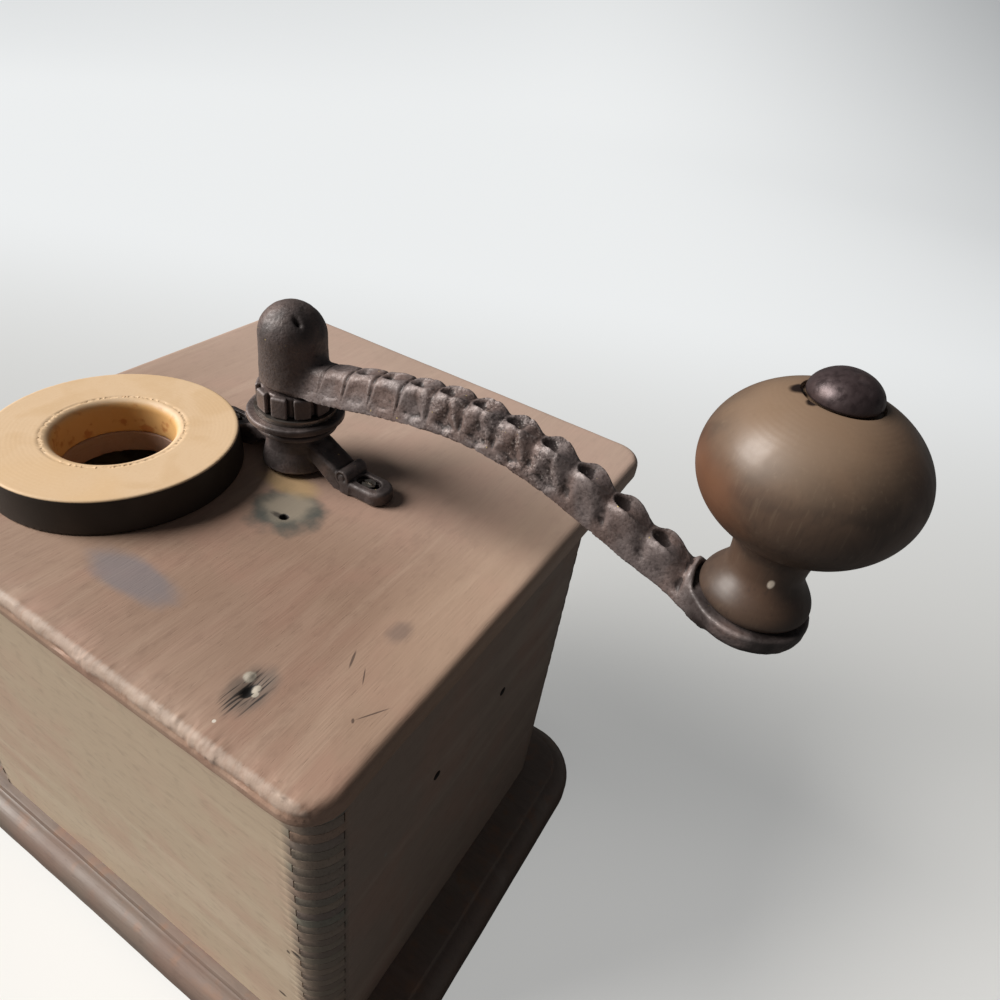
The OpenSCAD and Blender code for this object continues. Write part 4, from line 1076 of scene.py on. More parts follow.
            colour = s.tint(colour, "#A39A8C", s.near((kx + dx, ky + dy, top), (r, r * 1.1, thick), 0.25, 0.25))
        blue = s.near((-4.0, 42.8, top), (13.0, 5.2, thick), 0.4, 0.35)
        colour = s.tint(colour, "#77747A", s.sum(blue, 0.7))
        faint = s.near((-65.5, 18.0, top), (2.6, 3.4, thick), 0.5, 0.3)
        colour = s.tint(colour, "#7D6A60", s.sum(faint, 0.7))
        for x0, y0, x1, y1, w in ((-61.1, 28.3, -63.2, 33.2, 0.32), (-72.4, 42.7, -73.2, 43.8, 0.35),
                                  (-73.0, 42.8, -77.0, 36.2, 0.2), (-66.0, 31.0, -68.5, 35.0, 0.18)):
            middle = ((x0 + x1) / 2, (y0 + y1) / 2)
            length = np.hypot(x1 - x0, y1 - y0) / 2
            colour = s.tint(colour, "#4A3A32", s.sum(self.scratch(s, middle, length, w, (x1 - x0, y1 - y0)), 0.8))
        colour = s.tint(colour, "#D8CFC2", s.near((-50.7, 59.6, top), (0.4, 0.4, thick), 0.3))
        wear = s.attribute("wear")
        rough = s.grain([1.0, 3.0, 3.0], 4.0)
        bare = s.sum(wear, s.sum(s.sum(rough, 0.5, "SUBTRACT"), 1.1), "ADD")
        return s.tint(colour, "#B2A193", s.span(bare, 0.48, 1.05, 0.6))

    @staticmethod
    def scratch(s: Surface, middle: tuple[float, float], half: float, width: float,
                way: tuple[float, float]) -> Socket:
        """Mask of one straight scratch on the board."""
        turn = -float(np.arctan2(way[1], way[0]))
        moved = add(s.tree, "ShaderNodeVectorMath",
                    {0: s.place, 1: (middle[0] * MM, middle[1] * MM, 0.0)}, operation="SUBTRACT").outputs[0]
        turned = add(s.tree, "ShaderNodeMapping", {"Vector": moved, "Rotation": (0.0, 0.0, turn)}).outputs[0]
        scaled = add(s.tree, "ShaderNodeVectorMath",
                     {0: turned, 1: (1.0 / (half * MM), 1.0 / (width * MM), 0.0)}, operation="MULTIPLY")
        away = add(s.tree, "ShaderNodeVectorMath", {0: scaled.outputs[0]}, operation="LENGTH")
        return s.span(away.outputs["Value"], 1.2, 0.6)

    def collar_marks(self, s: Surface, colour: Socket) -> Socket:
        """Dark stain on the collar's outer side and a golden bore with orange patches."""
        centre = self.collar.mid
        outer = self.collar.size[0] / 2
        flat = add(s.tree, "ShaderNodeMapping",
                   {"Vector": s.place, "Location": (-centre[0] * MM, -centre[1] * MM, 0.0)}).outputs[0]
        level = add(s.tree, "ShaderNodeVectorMath", {0: flat, 1: (1.0, 1.0, 0.0)}, operation="MULTIPLY")
        away = add(s.tree, "ShaderNodeVectorMath", {0: level.outputs[0]}, operation="LENGTH").outputs["Value"]
        ragged = s.sum(s.sum(s.grain([2.5, 2.5, 1.5], 3.0), 0.5, "SUBTRACT"), 0.5 * MM)
        away = s.sum(away, ragged, "ADD")
        up = add(s.tree, "ShaderNodeSeparateXYZ", {0: s.place}).outputs["Z"]
        side = s.span(away, (outer - 1.5) * MM, (outer - 1.1) * MM)
        below_rim = s.span(up, (self.collar.hi[2] - 0.2) * MM, (self.collar.hi[2] - 0.55) * MM)
        bore = s.span(away, (self.hole + 1.4) * MM, (self.hole + 0.2) * MM)
        colour = s.tint(colour, "#D9A456", s.sum(bore, 0.75))
        colour = s.tint(colour, "#B0642C", s.sum(s.sum(bore, s.span(s.grain([5.0] * 3, 3.0), 0.52, 0.62)), 0.6))
        return s.tint(colour, "#120C0A", s.sum(s.sum(side, below_rim), 0.98))

    def build(self, woods: dict[str, bpy.types.Material]) -> None:
        """Makes the board and the collar."""
        b, c = self.board, self.collar
        places = ((self.nail[0], 3.0), (self.knot[0], 7.0))
        axes = (finer_at(b.lo[0], b.hi[0], self.step, places, self.fine),
                finer_at(b.lo[1], b.hi[1], self.step, ((self.nail[1], 3.0), (self.knot[1], 8.0),
                                                       (b.hi[1] - 2.0, 3.0)), self.fine),
                finer_at(b.lo[2], b.hi[2], 0.8, ((b.hi[2], 2.7),), 0.4))
        points, quads = iso_mesh(self.board_shape, axes)
        back = smooth(points[:, 1], b.hi[1] - 4.2, b.hi[1] - 1.6) * smooth(points[:, 2], b.hi[2] - 4.5, b.hi[2] - 1.6)
        near_side = smooth(-points[:, 0], -b.lo[0] - 2.3, -b.lo[0] - 0.9) * smooth(points[:, 2], b.hi[2] - 2.6,
                                                                                    b.hi[2] - 1.0)
        wear = np.clip(back + 0.42 * near_side, 0, 1)
        board = make_piece("dressed_top_board", points, quads, woods["top_board"], 50.0, wear=wear)
        seat(board, "top_board")
        axes = (even(c.lo[0], c.hi[0], 0.62), even(c.lo[1], c.hi[1], 0.62), even(c.lo[2], c.hi[2], 0.55))
        points, quads = iso_mesh(self.collar_shape, axes)
        collar = make_piece("dressed_feed_collar", points, quads, woods["feed_collar"], 50.0)
        seat(collar, "feed_collar")


@dataclass
class Bridge:
    """Cast bridge with two slotted feet, and the notched nut above it."""

    foot_end: float = 34.6
    half_width: float = 4.55
    foot: float = 4.6
    foot_start: float = 20.4
    leg_top: float = 12.0
    leg_thick: float = 5.5
    slot_at: float = 27.0
    slot_half: float = 1.8
    slot_r: float = 2.2
    hole_r: float = 1.6
    scroll_at: tuple[float, float] = (20.6, 5.0)
    scroll_r: float = 2.4
    leaf_end: float = 22.6
    neck: tuple[tuple[float, float], ...] = (
        (0.0, 10.6), (1.5, 10.6), (4.5, 9.8), (7.5, 9.0), (12.0, 9.0), (12.9, 9.6), (18.5, 9.6))
    ring: tuple[float, float, float] = (11.9, 13.0, 15.0)
    boss: tuple[float, float] = (13.9, 16.3)
    shaft_r: float = 5.05
    lobes: int = 10
    notch: float = 0.9
    notch_depth: float = 1.6
    box: Extent = field(default_factory=lambda: Extent.of("bridge"))
    nut: Extent = field(default_factory=lambda: Extent.of("adjusting_nut"))
    shaft: Extent = field(default_factory=lambda: Extent.of("spindle"))

    def leg_shape(self, x: Array, y: Array, z: Array) -> Array:
        """Distance to the two feet and the legs that slope up to the neck, for x from the shaft outwards."""
        end = self.foot_end - self.half_width
        plan = np.hypot(x - np.clip(x, 0.0, end), y) - self.half_width
        foot = prism(plan, np.abs(z - self.foot / 2) - self.foot / 2, 1.2)
        foot = blend_max(foot, self.foot_start - x, 1.0)
        rise = (self.leg_top - self.foot) / (self.foot_start + 1.2 - 7.0)
        level = 1.0 / np.hypot(1.0, rise)
        above = (z - self.leg_top + rise * (x - 7.0)) * level
        below = (self.leg_top - self.leg_thick - 0.68 * (x - 7.0) - z) * 0.83
        leg = prism(np.abs(y) - self.half_width + 0.2, np.maximum(above, below), 1.1)
        leg = np.maximum(leg, x - 23.0) - 0.25 * np.exp(-((np.abs(y) - 3.2) / 0.8) ** 2)
        leg = leg + 0.5 * np.exp(-(y / 1.9) ** 2) * smooth(x, 10.0, 13.0)
        return blend_min(foot, np.maximum(leg, -z), 1.2)

    def scroll_shape(self, x: Array, y: Array, z: Array) -> Array:
        """Distance to the rolled end on the -X foot: a roll across the leg, with a spiral groove in its ends."""
        dx, dz = x - self.scroll_at[0], z - self.scroll_at[1]
        away, turn = np.hypot(dx, dz), np.arctan2(dz, dx)
        roll = prism(away - self.scroll_r, np.abs(y) - self.half_width, 0.35)
        spiral = 0.75 + 0.85 * np.mod(turn + 2.2, 2.0 * np.pi) / (2.0 * np.pi)
        groove = np.hypot(away - spiral, np.abs(y) - self.half_width) - 0.34
        return np.maximum(roll, -groove)

    def leaf_shape(self, x: Array, y: Array, z: Array) -> Array:
        """Distance to the leaf on the +X side, which runs out from the neck to a point over the foot."""
        top = np.interp(x, [5.0, 10.8, 16.8, 22.8], [10.4, 10.1, 9.2, 7.6])
        low = np.interp(x, [5.0, 12.8, 16.8, 22.8], [5.0, 5.0, 7.0, 7.6])
        half = np.interp(x, [5.0, 14.8, 22.8], [4.3, 3.5, 0.6])
        keel = 0.7 * (1.0 - np.clip(np.abs(y) / np.maximum(half, 0.1), 0.0, 1.0) ** 2)
        blade = prism(np.abs(y) - half, np.maximum(z - top + 0.7 - keel, low - z), 0.5)
        return np.maximum(blade, x - self.leaf_end)

    def neck_shape(self, away: Array, z: Array, top: float) -> Array:
        """Distance to the turned-looking neck: bell, ring and boss, with hollows between them."""
        radius = np.interp(z, *np.array(self.neck).T)
        bell = prism(away - radius, np.abs(z - (top + 1.5) / 2) - (top - 1.5) / 2, 0.5)
        ring_r, low, high = self.ring
        ring = prism(away - ring_r, np.abs(z - (low + high) / 2) - (high - low) / 2, 0.9)
        boss_r, under = self.boss
        boss = prism(away - boss_r, np.abs(z - (top + under) / 2) - (top - under) / 2, 0.55)
        return blend_min(blend_min(bell, ring, 0.6), boss, 0.6)

    def bridge_shape(self, x: Array, y: Array, z: Array) -> Array:
        """Distance to the bridge: feet and legs, scroll, leaf, neck, slots and bore."""
        side, y, z = x - self.shaft.mid[0], y - self.shaft.mid[1], z - self.box.lo[2]
        x = np.abs(side)
        top = self.box.size[2]
        out = self.leg_shape(x, y, z)
        far = np.full_like(x, 50.0)
        out = blend_min(out, np.where(side < 0, self.scroll_shape(x, y, z), far), 0.5)
        out = blend_min(out, np.where(side > 0, self.leaf_shape(x, y, z), far), 0.5)
        away = np.hypot(x, y)
        out = blend_min(out, self.neck_shape(away, z, top), 1.3)
        out = roughen(out + 0.08, x, y, z, ((0.06, 2.6, 51), (0.04, 1.2, 53)))
        slot = prism(slot_plan(x - self.slot_at, y, self.slot_half, self.slot_r), 3.2 - z, 0.2)
        hole = slot_plan(x - self.slot_at, y, self.slot_half, self.hole_r)
        out = np.maximum(blend_max(out, -slot, 0.4), -hole)
        return np.maximum(np.maximum(out, self.shaft_r - away), z - top + 0.03)

    def nut_shape(self, x: Array, y: Array, z: Array) -> Array:
        """Distance to the nut: a disc with straight notches between lobes that are nearly flat outside."""
        x, y, z = x - self.shaft.mid[0], y - self.shaft.mid[1], z - self.nut.lo[2]
        tall, r = self.nut.size[2], self.nut.size[0] / 2
        away, turn = np.hypot(x, y), np.arctan2(y, x)
        pitch = 2.0 * np.pi / self.lobes
        lobe = np.mod(turn + pitch / 2.0, pitch) - pitch / 2.0
        gap = np.mod(turn, pitch) - pitch / 2.0
        flat = away * np.cos(0.75 * lobe) - r * 0.99
        disc = prism(flat, np.abs(z - tall / 2) - tall / 2, 0.7)
        notch = np.maximum(np.abs(away * np.sin(gap)) - self.notch, r - self.notch_depth - away)
        out = roughen(blend_max(disc, -notch, 0.6) + 0.05, x, y, z, ((0.05, 2.2, 52),))
        return np.maximum(out, self.shaft_r - away)

    def build(self, iron: bpy.types.Material) -> None:
        """Makes the bridge and the nut."""
        b, n = self.box, self.nut
        points, quads = iso_mesh(self.bridge_shape, [even(b.lo[i], b.hi[i], 0.34) for i in range(3)])
        wear = edge_wear(self.bridge_shape, points, 0.7)
        piece = make_piece("dressed_bridge", points, quads, iron, 55.0, wear=wear,
                           lacquer=np.full(len(points), 0.85))
        seat(piece, "bridge")
        points, quads = iso_mesh(self.nut_shape, [even(n.lo[i], n.hi[i], 0.26) for i in range(3)])
        wear = edge_wear(self.nut_shape, points, 0.6)
        piece = make_piece("dressed_adjusting_nut", points, quads, iron, 55.0, wear=wear,
                           lacquer=np.full(len(points), 0.5))
        seat(piece, "adjusting_nut")


@dataclass
class Crank:
    """One iron casting: domed hub, scaled arm and round pad."""

    radius: float = 133.4
    hub_r: float = 9.3
    dome: float = 9.3
    pad_r: float = 13.0
    pad_t: float = 5.4
    socket: float = 3.55
    bend: tuple[float, ...] = (34.501, 4.853, -23.294, 1.465, 12.827, -2.377, -1.363)
    above_nut: float = 27.35
    bend_mid: float = -65.0
    bend_half: float = 60.0
    foot_half: tuple[float, float] = (7.1, 5.3)
    crest_half: tuple[float, float] = (3.3, 4.1)
    first_pit: float = -16.5
    pitch: float = 8.3
    pitch_growth: float = 0.119
    notch_before: float = 0.34
    scales: int = 11
    room: float = 12.9
    box: Extent = field(default_factory=lambda: Extent.of("crank"))
    shaft: Extent = field(default_factory=lambda: Extent.of("spindle"))
    board: Extent = field(default_factory=lambda: Extent.of("top_board"))

    def underside(self, x: Array) -> tuple[Array, Array]:
        """Height and slope of the arm's underside at x, from a polynomial in (x - bend_mid) / bend_half."""
        t = np.clip((x - self.bend_mid) / self.bend_half, -1.04, 1.06)
        slope = np.polyval(np.polyder(self.bend[::-1]), t) / self.bend_half
        rise = np.polyval(self.bend[::-1], t)
        return self.board.hi[2] + np.where(x > -30.0, np.maximum(rise, self.above_nut), rise), slope

    def scale_number(self, x: Array) -> Array:
        """Place along the row of scales: 0 to 1 in the first, and so on; their pitch grows steadily outwards."""
        g, p = self.pitch_growth, self.pitch
        inside = np.maximum(p * p - 4.0 * g * (x - self.first_pit), 0.0)
        return (np.sqrt(inside) - p) / (2.0 * g) + self.notch_before

    def relief(self, x: Array, y: Array, up: Array, tall: Array) -> Array:
        """How far the scales stand out from the plain arm.

        On the crest each scale is a round hump, and a bowl is pressed into it, deepest towards the hub. On
        the arm's sides a groove runs down from each notch and narrows to a point, and the panels between the
        grooves carry a sunk shield near the hub, a hollow wedge in the middle of the arm, and a soft hollow
        farther out.

        Args:
            x: place along the arm.
            y: place across it.
            up: height above the underside.
            tall: height of the plain arm.

        Returns:
            The height of the relief, with less than 0 for hollows.
        """
        k = self.scale_number(x)
        last = float(self.scales)
        live = smooth(k, -0.6, 0.3) * (1.0 - smooth(k, last, last + 0.15))
        g = k - np.floor(k) - 0.5
        v = up / tall
        uneven = np.interp(k, [2.0, 4.0, 8.0, 11.0], [0.0, 0.05, 0.06, 0.04])
        g = np.clip(g + uneven * lumps(x, y * 0.6, up, 3.4, 64) * (1 - smooth(np.abs(g), 0.4, 0.5)), -0.5, 0.5)
        gap = 0.5 - np.abs(g)
        hump = np.clip(1.0 - np.abs(2.0 * g) ** 2.2, 0.0, 1.0) ** 0.75
        rise = np.interp(k, [0.0, 1.0, 4.0, 7.0, 11.0], [0.35, 0.5, 0.95, 1.6, 1.9])
        out = rise * (hump - 0.8) * smooth(v, 0.66, 0.98)
        depth = np.interp(k, [0.0, 2.0, 3.5, 5.0, 8.0, 11.0], [0.2, 0.22, 0.3, 0.6, 1.1, 0.9])
        width = np.interp(k, [0.0, 3.0, 4.5, 8.0], [0.05, 0.06, 0.15, 0.27]) * (0.45 + 0.55 * smooth(v, 0.25, 0.9))
        groove = np.exp(-(gap / width) ** 2) * smooth(v, 0.14, 0.4)
        out = out - depth * groove
        near_hub = 1.0 - smooth(k, 3.6, 4.6)
        bead = np.exp(-((gap - 2.3 * width) / (0.8 * width)) ** 2) * smooth(v, 0.15, 0.3)
        out = out + 0.13 * near_hub * bead * (1.0 - smooth(v, 0.85, 0.98))
        tall_part = np.where(v > 0.36, (v - 0.36) / 0.56, (0.36 - v) / 0.2)
        shield = smooth(1.0 - np.hypot(g / 0.4, tall_part), 0.0, 0.55)
        out = out - 0.26 * near_hub * shield
        mid_arm = smooth(k, 2.6, 4.2) * (1.0 - smooth(k, 7.2, 8.4))
        wedge = 0.32 * np.clip((0.78 - v) / 0.5, 0.0, 1.0) * smooth(v, 0.06, 0.3)
        hollow = smooth(wedge - np.abs(g - 0.03), -0.12, 0.22)
        out = out - 0.8 * mid_arm * hollow
        outer = smooth(k, 7.0, 8.0)
        dish = np.exp(-(g / 0.26) ** 2 - ((v - 0.38) / 0.2) ** 2)
        out = out - 0.5 * outer * dish
        bowl_w = np.interp(k, [0.0, 4.0, 11.0], [2.2, 2.9, 3.4])
        reach = np.clip((g / 0.46) ** 2 + ((y + 0.1) / bowl_w) ** 2, 0.0, 1.0)
        deep = np.interp(k, [0.0, 1.0, 4.0, 8.0, 11.0], [0.3, 0.8, 1.5, 2.1, 1.8])
        bowl = deep * (1.0 - reach) ** 0.7 * (1.15 - 0.75 * smooth(g, -0.3, 0.45))
        pit = 1.0 * np.exp(-((g + 0.2) / 0.16) ** 2 - ((y + 0.1) / (0.55 * bowl_w)) ** 2) * smooth(k, 0.8, 1.6)
        out = out - (bowl + pit) * smooth(v, 0.55, 0.8)
        return live * out

    def arm_shape(self, x: Array, y: Array, z: Array) -> Array:
        """Distance to the arm: sides that lean in to a narrow crest, and the scales."""
        under, slope = self.underside(x)
        level = 1.0 / np.sqrt(1.0 + slope ** 2)
        up = (z - under) * level
        share = np.clip(-x / self.radius, 0.0, 1.0)
        tall = np.interp(-x, [0, 14, 28, 40, 55, 71, 82, 90, 99, 111, 119, 127],
                         [8.6, 8.8, 9.5, 9.7, 10.1, 10.1, 10.4, 10.3, 10.0, 9.3, 8.4, 7.0])
        foot_half = self.foot_half[0] + (self.foot_half[1] - self.foot_half[0]) * share
        foot_half = foot_half + 3.6 * smooth(-x, 114.0, 126.5)
        crest_half = self.crest_half[0] + (self.crest_half[1] - self.crest_half[0]) * share
        lean = (foot_half - crest_half) / tall
        side = (np.abs(y) - foot_half + lean * np.maximum(up, 0.0)) / np.sqrt(1.0 + lean ** 2)
        top = up - tall + 0.05 * y ** 2
        arm = np.maximum(blend_max(side, top, 1.5), -up)
        arm = arm - self.relief(x, y, up, tall)
        return np.maximum(np.maximum(arm * level * 0.9, x + 4.0), -x - 126.5)

    def hub_shape(self, x: Array, y: Array, z: Array) -> Array:
        """Distance to the hub: a cylinder that runs into half a ball, with a small casting pit."""
        top = self.box.hi[2] - self.dome
        low = top - 13.1
        reach = np.hypot(x, y)
        ball = np.sqrt(reach ** 2 + np.maximum(z - top, 0.0) ** 2) - self.hub_r - 0.35 * smooth(z, top - 2.0, low + 1.0)
        hub = prism(ball, low - z, 0.5)
        pit = np.sqrt(0.5 * (x + 5.2) ** 2 + 1.6 * (y - 3.6) ** 2 + 0.2 * (z - self.box.hi[2] + 3.4) ** 2) - 0.55
        return blend_max(hub, -pit, 1.5)

    def shape(self, x: Array, y: Array, z: Array) -> Array:
        """Distance to the casting: arm, pad and hub run together with fillets, then its bores."""
        x, y = x - self.shaft.mid[0], y - self.shaft.mid[1]
        pad_low = self.box.lo[2]
        pad_top = pad_low + self.pad_t
        pad_away = np.hypot(x + self.radius, y)
        edge = np.where(z < pad_low + 0.6 * self.pad_t, 2.8, 0.8)
        pad = prism(pad_away - self.pad_r, np.abs(z - pad_low - self.pad_t / 2) - self.pad_t / 2, edge)
        out = blend_min(self.arm_shape(x, y, z), pad, 2.6)
        out = blend_min(out, self.hub_shape(x, y, z), 2.2)
        out = roughen(out + 0.03, x, y, z, ((0.06, 2.4, 61), (0.05, 1.0, 62)))
        out = blend_max(out, -room_above(pad_away, z, self.room, pad_top), 0.5)
        hub_top = self.box.hi[2] - self.dome
        square = np.maximum(np.maximum(np.abs(x), np.abs(y)) - self.socket, z - hub_top + 1.0)
        screw = np.maximum(np.hypot(y, z - hub_top + 6.55) - 2.23, 2.0 - x)
        return np.maximum(np.maximum(out, -square), np.maximum(3.43 - pad_away, -screw))

    def build(self, iron: bpy.types.Material) -> None:
        """Makes the casting; grit says where the sand left the scales rough."""
        b = self.box
        points, quads = iso_mesh(self.shape, [even(b.lo[i], b.hi[i], 0.38) for i in range(3)])
        k = self.scale_number(points[:, 0] - self.shaft.mid[0])
        grit = smooth(k, 2.8, 4.6) * (1.0 - 0.75 * smooth(k, 7.4, 8.6)) * (1.0 - smooth(k, 10.6, 11.4))
        x, y = points[:, 0] - self.shaft.mid[0], points[:, 1] - self.shaft.mid[1]
        z = points[:, 2] - self.box.hi[2] + self.dome
        hub = smooth(np.hypot(x, y), self.hub_r + 2.5, self.hub_r + 0.2) * (0.5 + 0.5 * smooth(z, -2.0, 4.0))
        pad = smooth(np.hypot(x + self.radius, y), self.pad_r + 9.0, self.pad_r - 0.5)
        low = smooth(points[:, 2] - self.underside(x)[0], 0.4, 2.0)
        wear = np.minimum(edge_wear(self.shape, points, 0.8), 0.42 + 0.58 * low)
        piece = make_piece("dressed_crank", points, quads, iron, 60.0, wear=wear,
                           grit=grit, lacquer=np.maximum(hub, pad))
        seat(piece, "crank")


def room_above(away: Array, z: Array, radius: float, level: float) -> Array:
    """Distance to the round room above a level, which is kept free for the turning knob."""
    return np.maximum(away - radius, level - z)


@dataclass
class Knob:
    """Turned knob and the domed rivet that it spins on."""

    foot_r: float = 12.05
    foot_up: float = 2.2
    foot_in: float = 1.2
    neck_r: float = 8.2
    neck_up: float = 10.5
    ball_up: float = 33.9
    ball_a: float = 21.65
    ball_b: float = 17.15
    bore: float = 3.5
    knob: Extent = field(default_factory=lambda: Extent.of("crank_knob"))
    rivet: Extent = field(default_factory=lambda: Extent.of("knob_rivet"))
    turns: int = 180

    def profile(self) -> Array:
        """Profile of the knob: swelling foot, cosine neck, flared throat and flattened ball with a seat."""
        t = np.linspace(0, 1, 8)
        foot = np.stack([self.foot_r - self.foot_in * (1 - t) ** 2, self.foot_up * t], 1)
        foot = np.vstack([[[foot[0, 0] - 0.5, 0.0], [foot[0, 0] - 0.1, 0.12]], foot[1:]])
        t = np.linspace(0, 1, 20)[1:]
        neck = np.stack([self.neck_r + (self.foot_r - self.neck_r) * (1 + np.cos(np.pi * t)) / 2,
                         self.foot_up + (self.neck_up - self.foot_up) * t], 1)
        tall = self.ball_up - self.neck_up - self.ball_b * np.sin(np.radians(50)) - 2.0
        a = np.radians(np.linspace(168, 112, 9))
        throat = np.stack([self.neck_r + 3.4 + 3.4 * np.cos(a), self.neck_up + tall * np.sin(a)], 1)
        seat_r = self.rivet.size[0] / 2 + 0.6
        a = np.linspace(np.radians(-50), np.arccos(seat_r / self.ball_a) - 0.02, 70)
        ball = np.stack([self.ball_a * np.cos(a), self.ball_up + self.ball_b * np.sin(a)], 1)
        seat_z = ball[-1, 1] - 0.9
        hollow = np.array([[seat_r + 0.1, ball[-1, 1] + 0.02], [seat_r - 0.1, ball[-1, 1] - 0.25],
                           [seat_r - 0.2, seat_z], [self.bore, seat_z - 0.1], [self.bore, 0.0]])
        return np.vstack([foot, neck, throat, ball, hollow])

    def marks(self, s: Surface, colour: Socket) -> Socket:
        """Orange patch at the equator, a painted tan sheen on the top of the ball, dark foot and a chipped speck."""
        x, y = self.knob.mid[:2]
        z = self.knob.lo[2] + self.ball_up
        patch = s.near((x + 15.0, y + 10.0, z - 4.0), (11.0, 12.0, 8.0), 0.5, 0.35)
        colour = s.tint(colour, "#6B4731", s.sum(patch, 0.8))
        # Tan on the upper ball where the lamp reflects on the polish: a painted sheen.
        painted_top_sheen = s.near((x + 4.0, y + 8.0, z + 15.0), (17.0, 18.0, 12.0), 0.55, 0.3)
        colour = s.tint(colour, "#8C7560", s.sum(painted_top_sheen, 0.7))
        foot = s.near((x, y, self.knob.lo[2] + 3.0), (30.0, 30.0, 12.0), 0.6)
        colour = s.tint(colour, "#3A2E27", s.sum(foot, 0.4))
        speck = s.near((x - 2.5, y + 8.2, self.knob.lo[2] + 11.0), (0.7, 1.6, 1.1), 0.3)
        colour = s.tint(colour, "#E3D5C4", speck)
        for dx, dy, r in ((7.3, 2.0, 1.8), (4.3, 6.1, 1.05)):
            pit = s.near((x + dx, y + dy, z + 16.0), (r, r, 4.0), 0.3, 0.15)
            colour = s.tint(colour, "#1C110C", pit)
        return colour

    def build(self, wood: bpy.types.Material, iron: bpy.types.Material) -> None:
        """Makes the knob and the rivet."""
        centre = np.array([*self.knob.mid[:2], self.knob.lo[2]])

        def uneven(angle: Array, z: Array) -> Array:
            """A turned piece that has shrunk a little across the grain, with soft dents."""
            dents = lumps(np.cos(angle) * 20, np.sin(angle) * 20, z, 9.0, 71)
            return -0.12 * (1 - np.cos(2 * angle)) - 0.06 * (1 + dents)

        points, faces = lathe(self.profile(), centre, self.turns, ring=True, wobble=uneven)
        knob = make_piece("dressed_crank_knob", points, faces, wood, 35.0)
        seat(knob, "crank_knob")
        self.build_rivet(iron)

    def build_rivet(self, iron: bpy.types.Material) -> None:
        """Makes the rivet: peened end, shank and a head hammered into a dome."""
        lo, hi = self.rivet.lo[2], self.rivet.hi[2]
        pad_low = lo + 1.25
        head = hi - 5.6
        r, shank = self.rivet.size[0] / 2, 3.4
        a = np.radians(np.linspace(0, 90, 16))
        dome = np.stack([r * np.cos(a), head + 0.6 + (hi - head - 0.6) * np.sin(a)], 1)
        profile = np.vstack([[[0, lo], [4.2, lo], [4.9, lo + 0.3], [5.3, lo + 0.8], [5.4, pad_low], [shank, pad_low],
                              [shank, head], [r - 0.5, head], [r - 0.1, head + 0.25]], dome])
        centre = np.array([*self.rivet.mid[:2], 0.0])

        def hammered(angle: Array, z: Array) -> Array:
            """Flats and dents left by the hammer."""
            return -0.14 * (1 + lumps(np.cos(angle) * 7, np.sin(angle) * 7, z, 3.6, 72)) * (z > head + 0.1)

        points, faces = lathe(profile, centre, 72, wobble=hammered)
        rivet = make_piece("dressed_knob_rivet", points, faces, iron, 40.0)
        seat(rivet, "knob_rivet")


@dataclass
class Drawer:
    """Drawer front and its turned knob."""

    arris: float = 0.6
    lip: float = 4.0
    front: Extent = field(default_factory=lambda: Extent.of("drawer_front"))
    side: Extent = field(default_factory=lambda: Extent.of("drawer_left_side"))
    knob: Extent = field(default_factory=lambda: Extent.of("drawer_knob"))

    def build(self, front_wood: bpy.types.Material, knob_wood: bpy.types.Material) -> None:
        """Makes the front, a rebated board with softened arrises, and the knob."""
        lo, hi = self.front.lo, self.front.hi
        inner = self.side.lo[0] - 0.05
        rebate = lo[1] + self.lip
        across = np.arange(lo[0] + 3.0, hi[0] - 2.0, 3.2)
        face = np.stack([across, np.full(len(across), lo[1])], 1)
        plan = np.vstack([[[lo[0], lo[1] + 0.7], [lo[0] + 0.2, lo[1] + 0.2], [lo[0] + 0.7, lo[1]]], face,
                          [[hi[0] - 0.7, lo[1]], [hi[0] - 0.2, lo[1] + 0.2], [hi[0], lo[1] + 0.7]],
                          [[hi[0], rebate], [inner, rebate], [inner, hi[1]], [-inner, hi[1]], [-inner, rebate],
                           [lo[0], rebate]]])
        levels = np.concatenate([[lo[2], lo[2] + 0.2], np.arange(lo[2] + 0.7, hi[2] - 0.6, 3.0),
                                 [hi[2] - 0.7, hi[2] - 0.2, hi[2]]])
        draw = np.interp(levels, [lo[2], lo[2] + 0.2, lo[2] + 0.7, hi[2] - 0.7, hi[2] - 0.2, hi[2]],
                         [0.7, 0.2, 0.0, 0.0, 0.2, 0.7])
        rings = np.repeat(np.column_stack([plan, np.zeros(len(plan))])[None], len(levels), axis=0)
        rings[..., 2] = levels[:, None]
        rings[..., 1] += np.where(rings[..., 1] < rebate - 0.1, draw[:, None], 0.0)
        rings[..., 1] += np.where(rings[..., 1] < rebate - 0.1,
                                  0.08 * (1 + lumps(rings[..., 0], rings[..., 1] * 0, rings[..., 2], 25.0, 81)), 0.0)
        points, faces = stack_rings(rings)
        seat(make_piece("dressed_drawer_front", points, faces, front_wood, 30.0),
             "drawer_front")
        r, length = self.knob.size[0] / 2, self.knob.size[1]
        neck = 5.0
        a = np.radians(np.linspace(-50, 90, 30))
        head = np.stack([r * np.cos(a), neck + (length - neck) / 2 * (1 + np.sin(a))], 1)
        profile = np.vstack([[[0, 0], [r - 2.2, 0], [r - 1.8, 0.5], [r - 1.7, 1.2], [r * 0.62, 2.2],
                              [r * 0.54, 3.4], [r * 0.53, neck]], head])
        profile[-1, 0] = 0.0
        centre = np.array([self.knob.mid[0], self.knob.hi[1], self.knob.mid[2]])
        points, faces = lathe(profile, centre, 96, Axis.Y)
        seat(make_piece("dressed_drawer_knob", points, faces, knob_wood, 35.0), "drawer_knob")


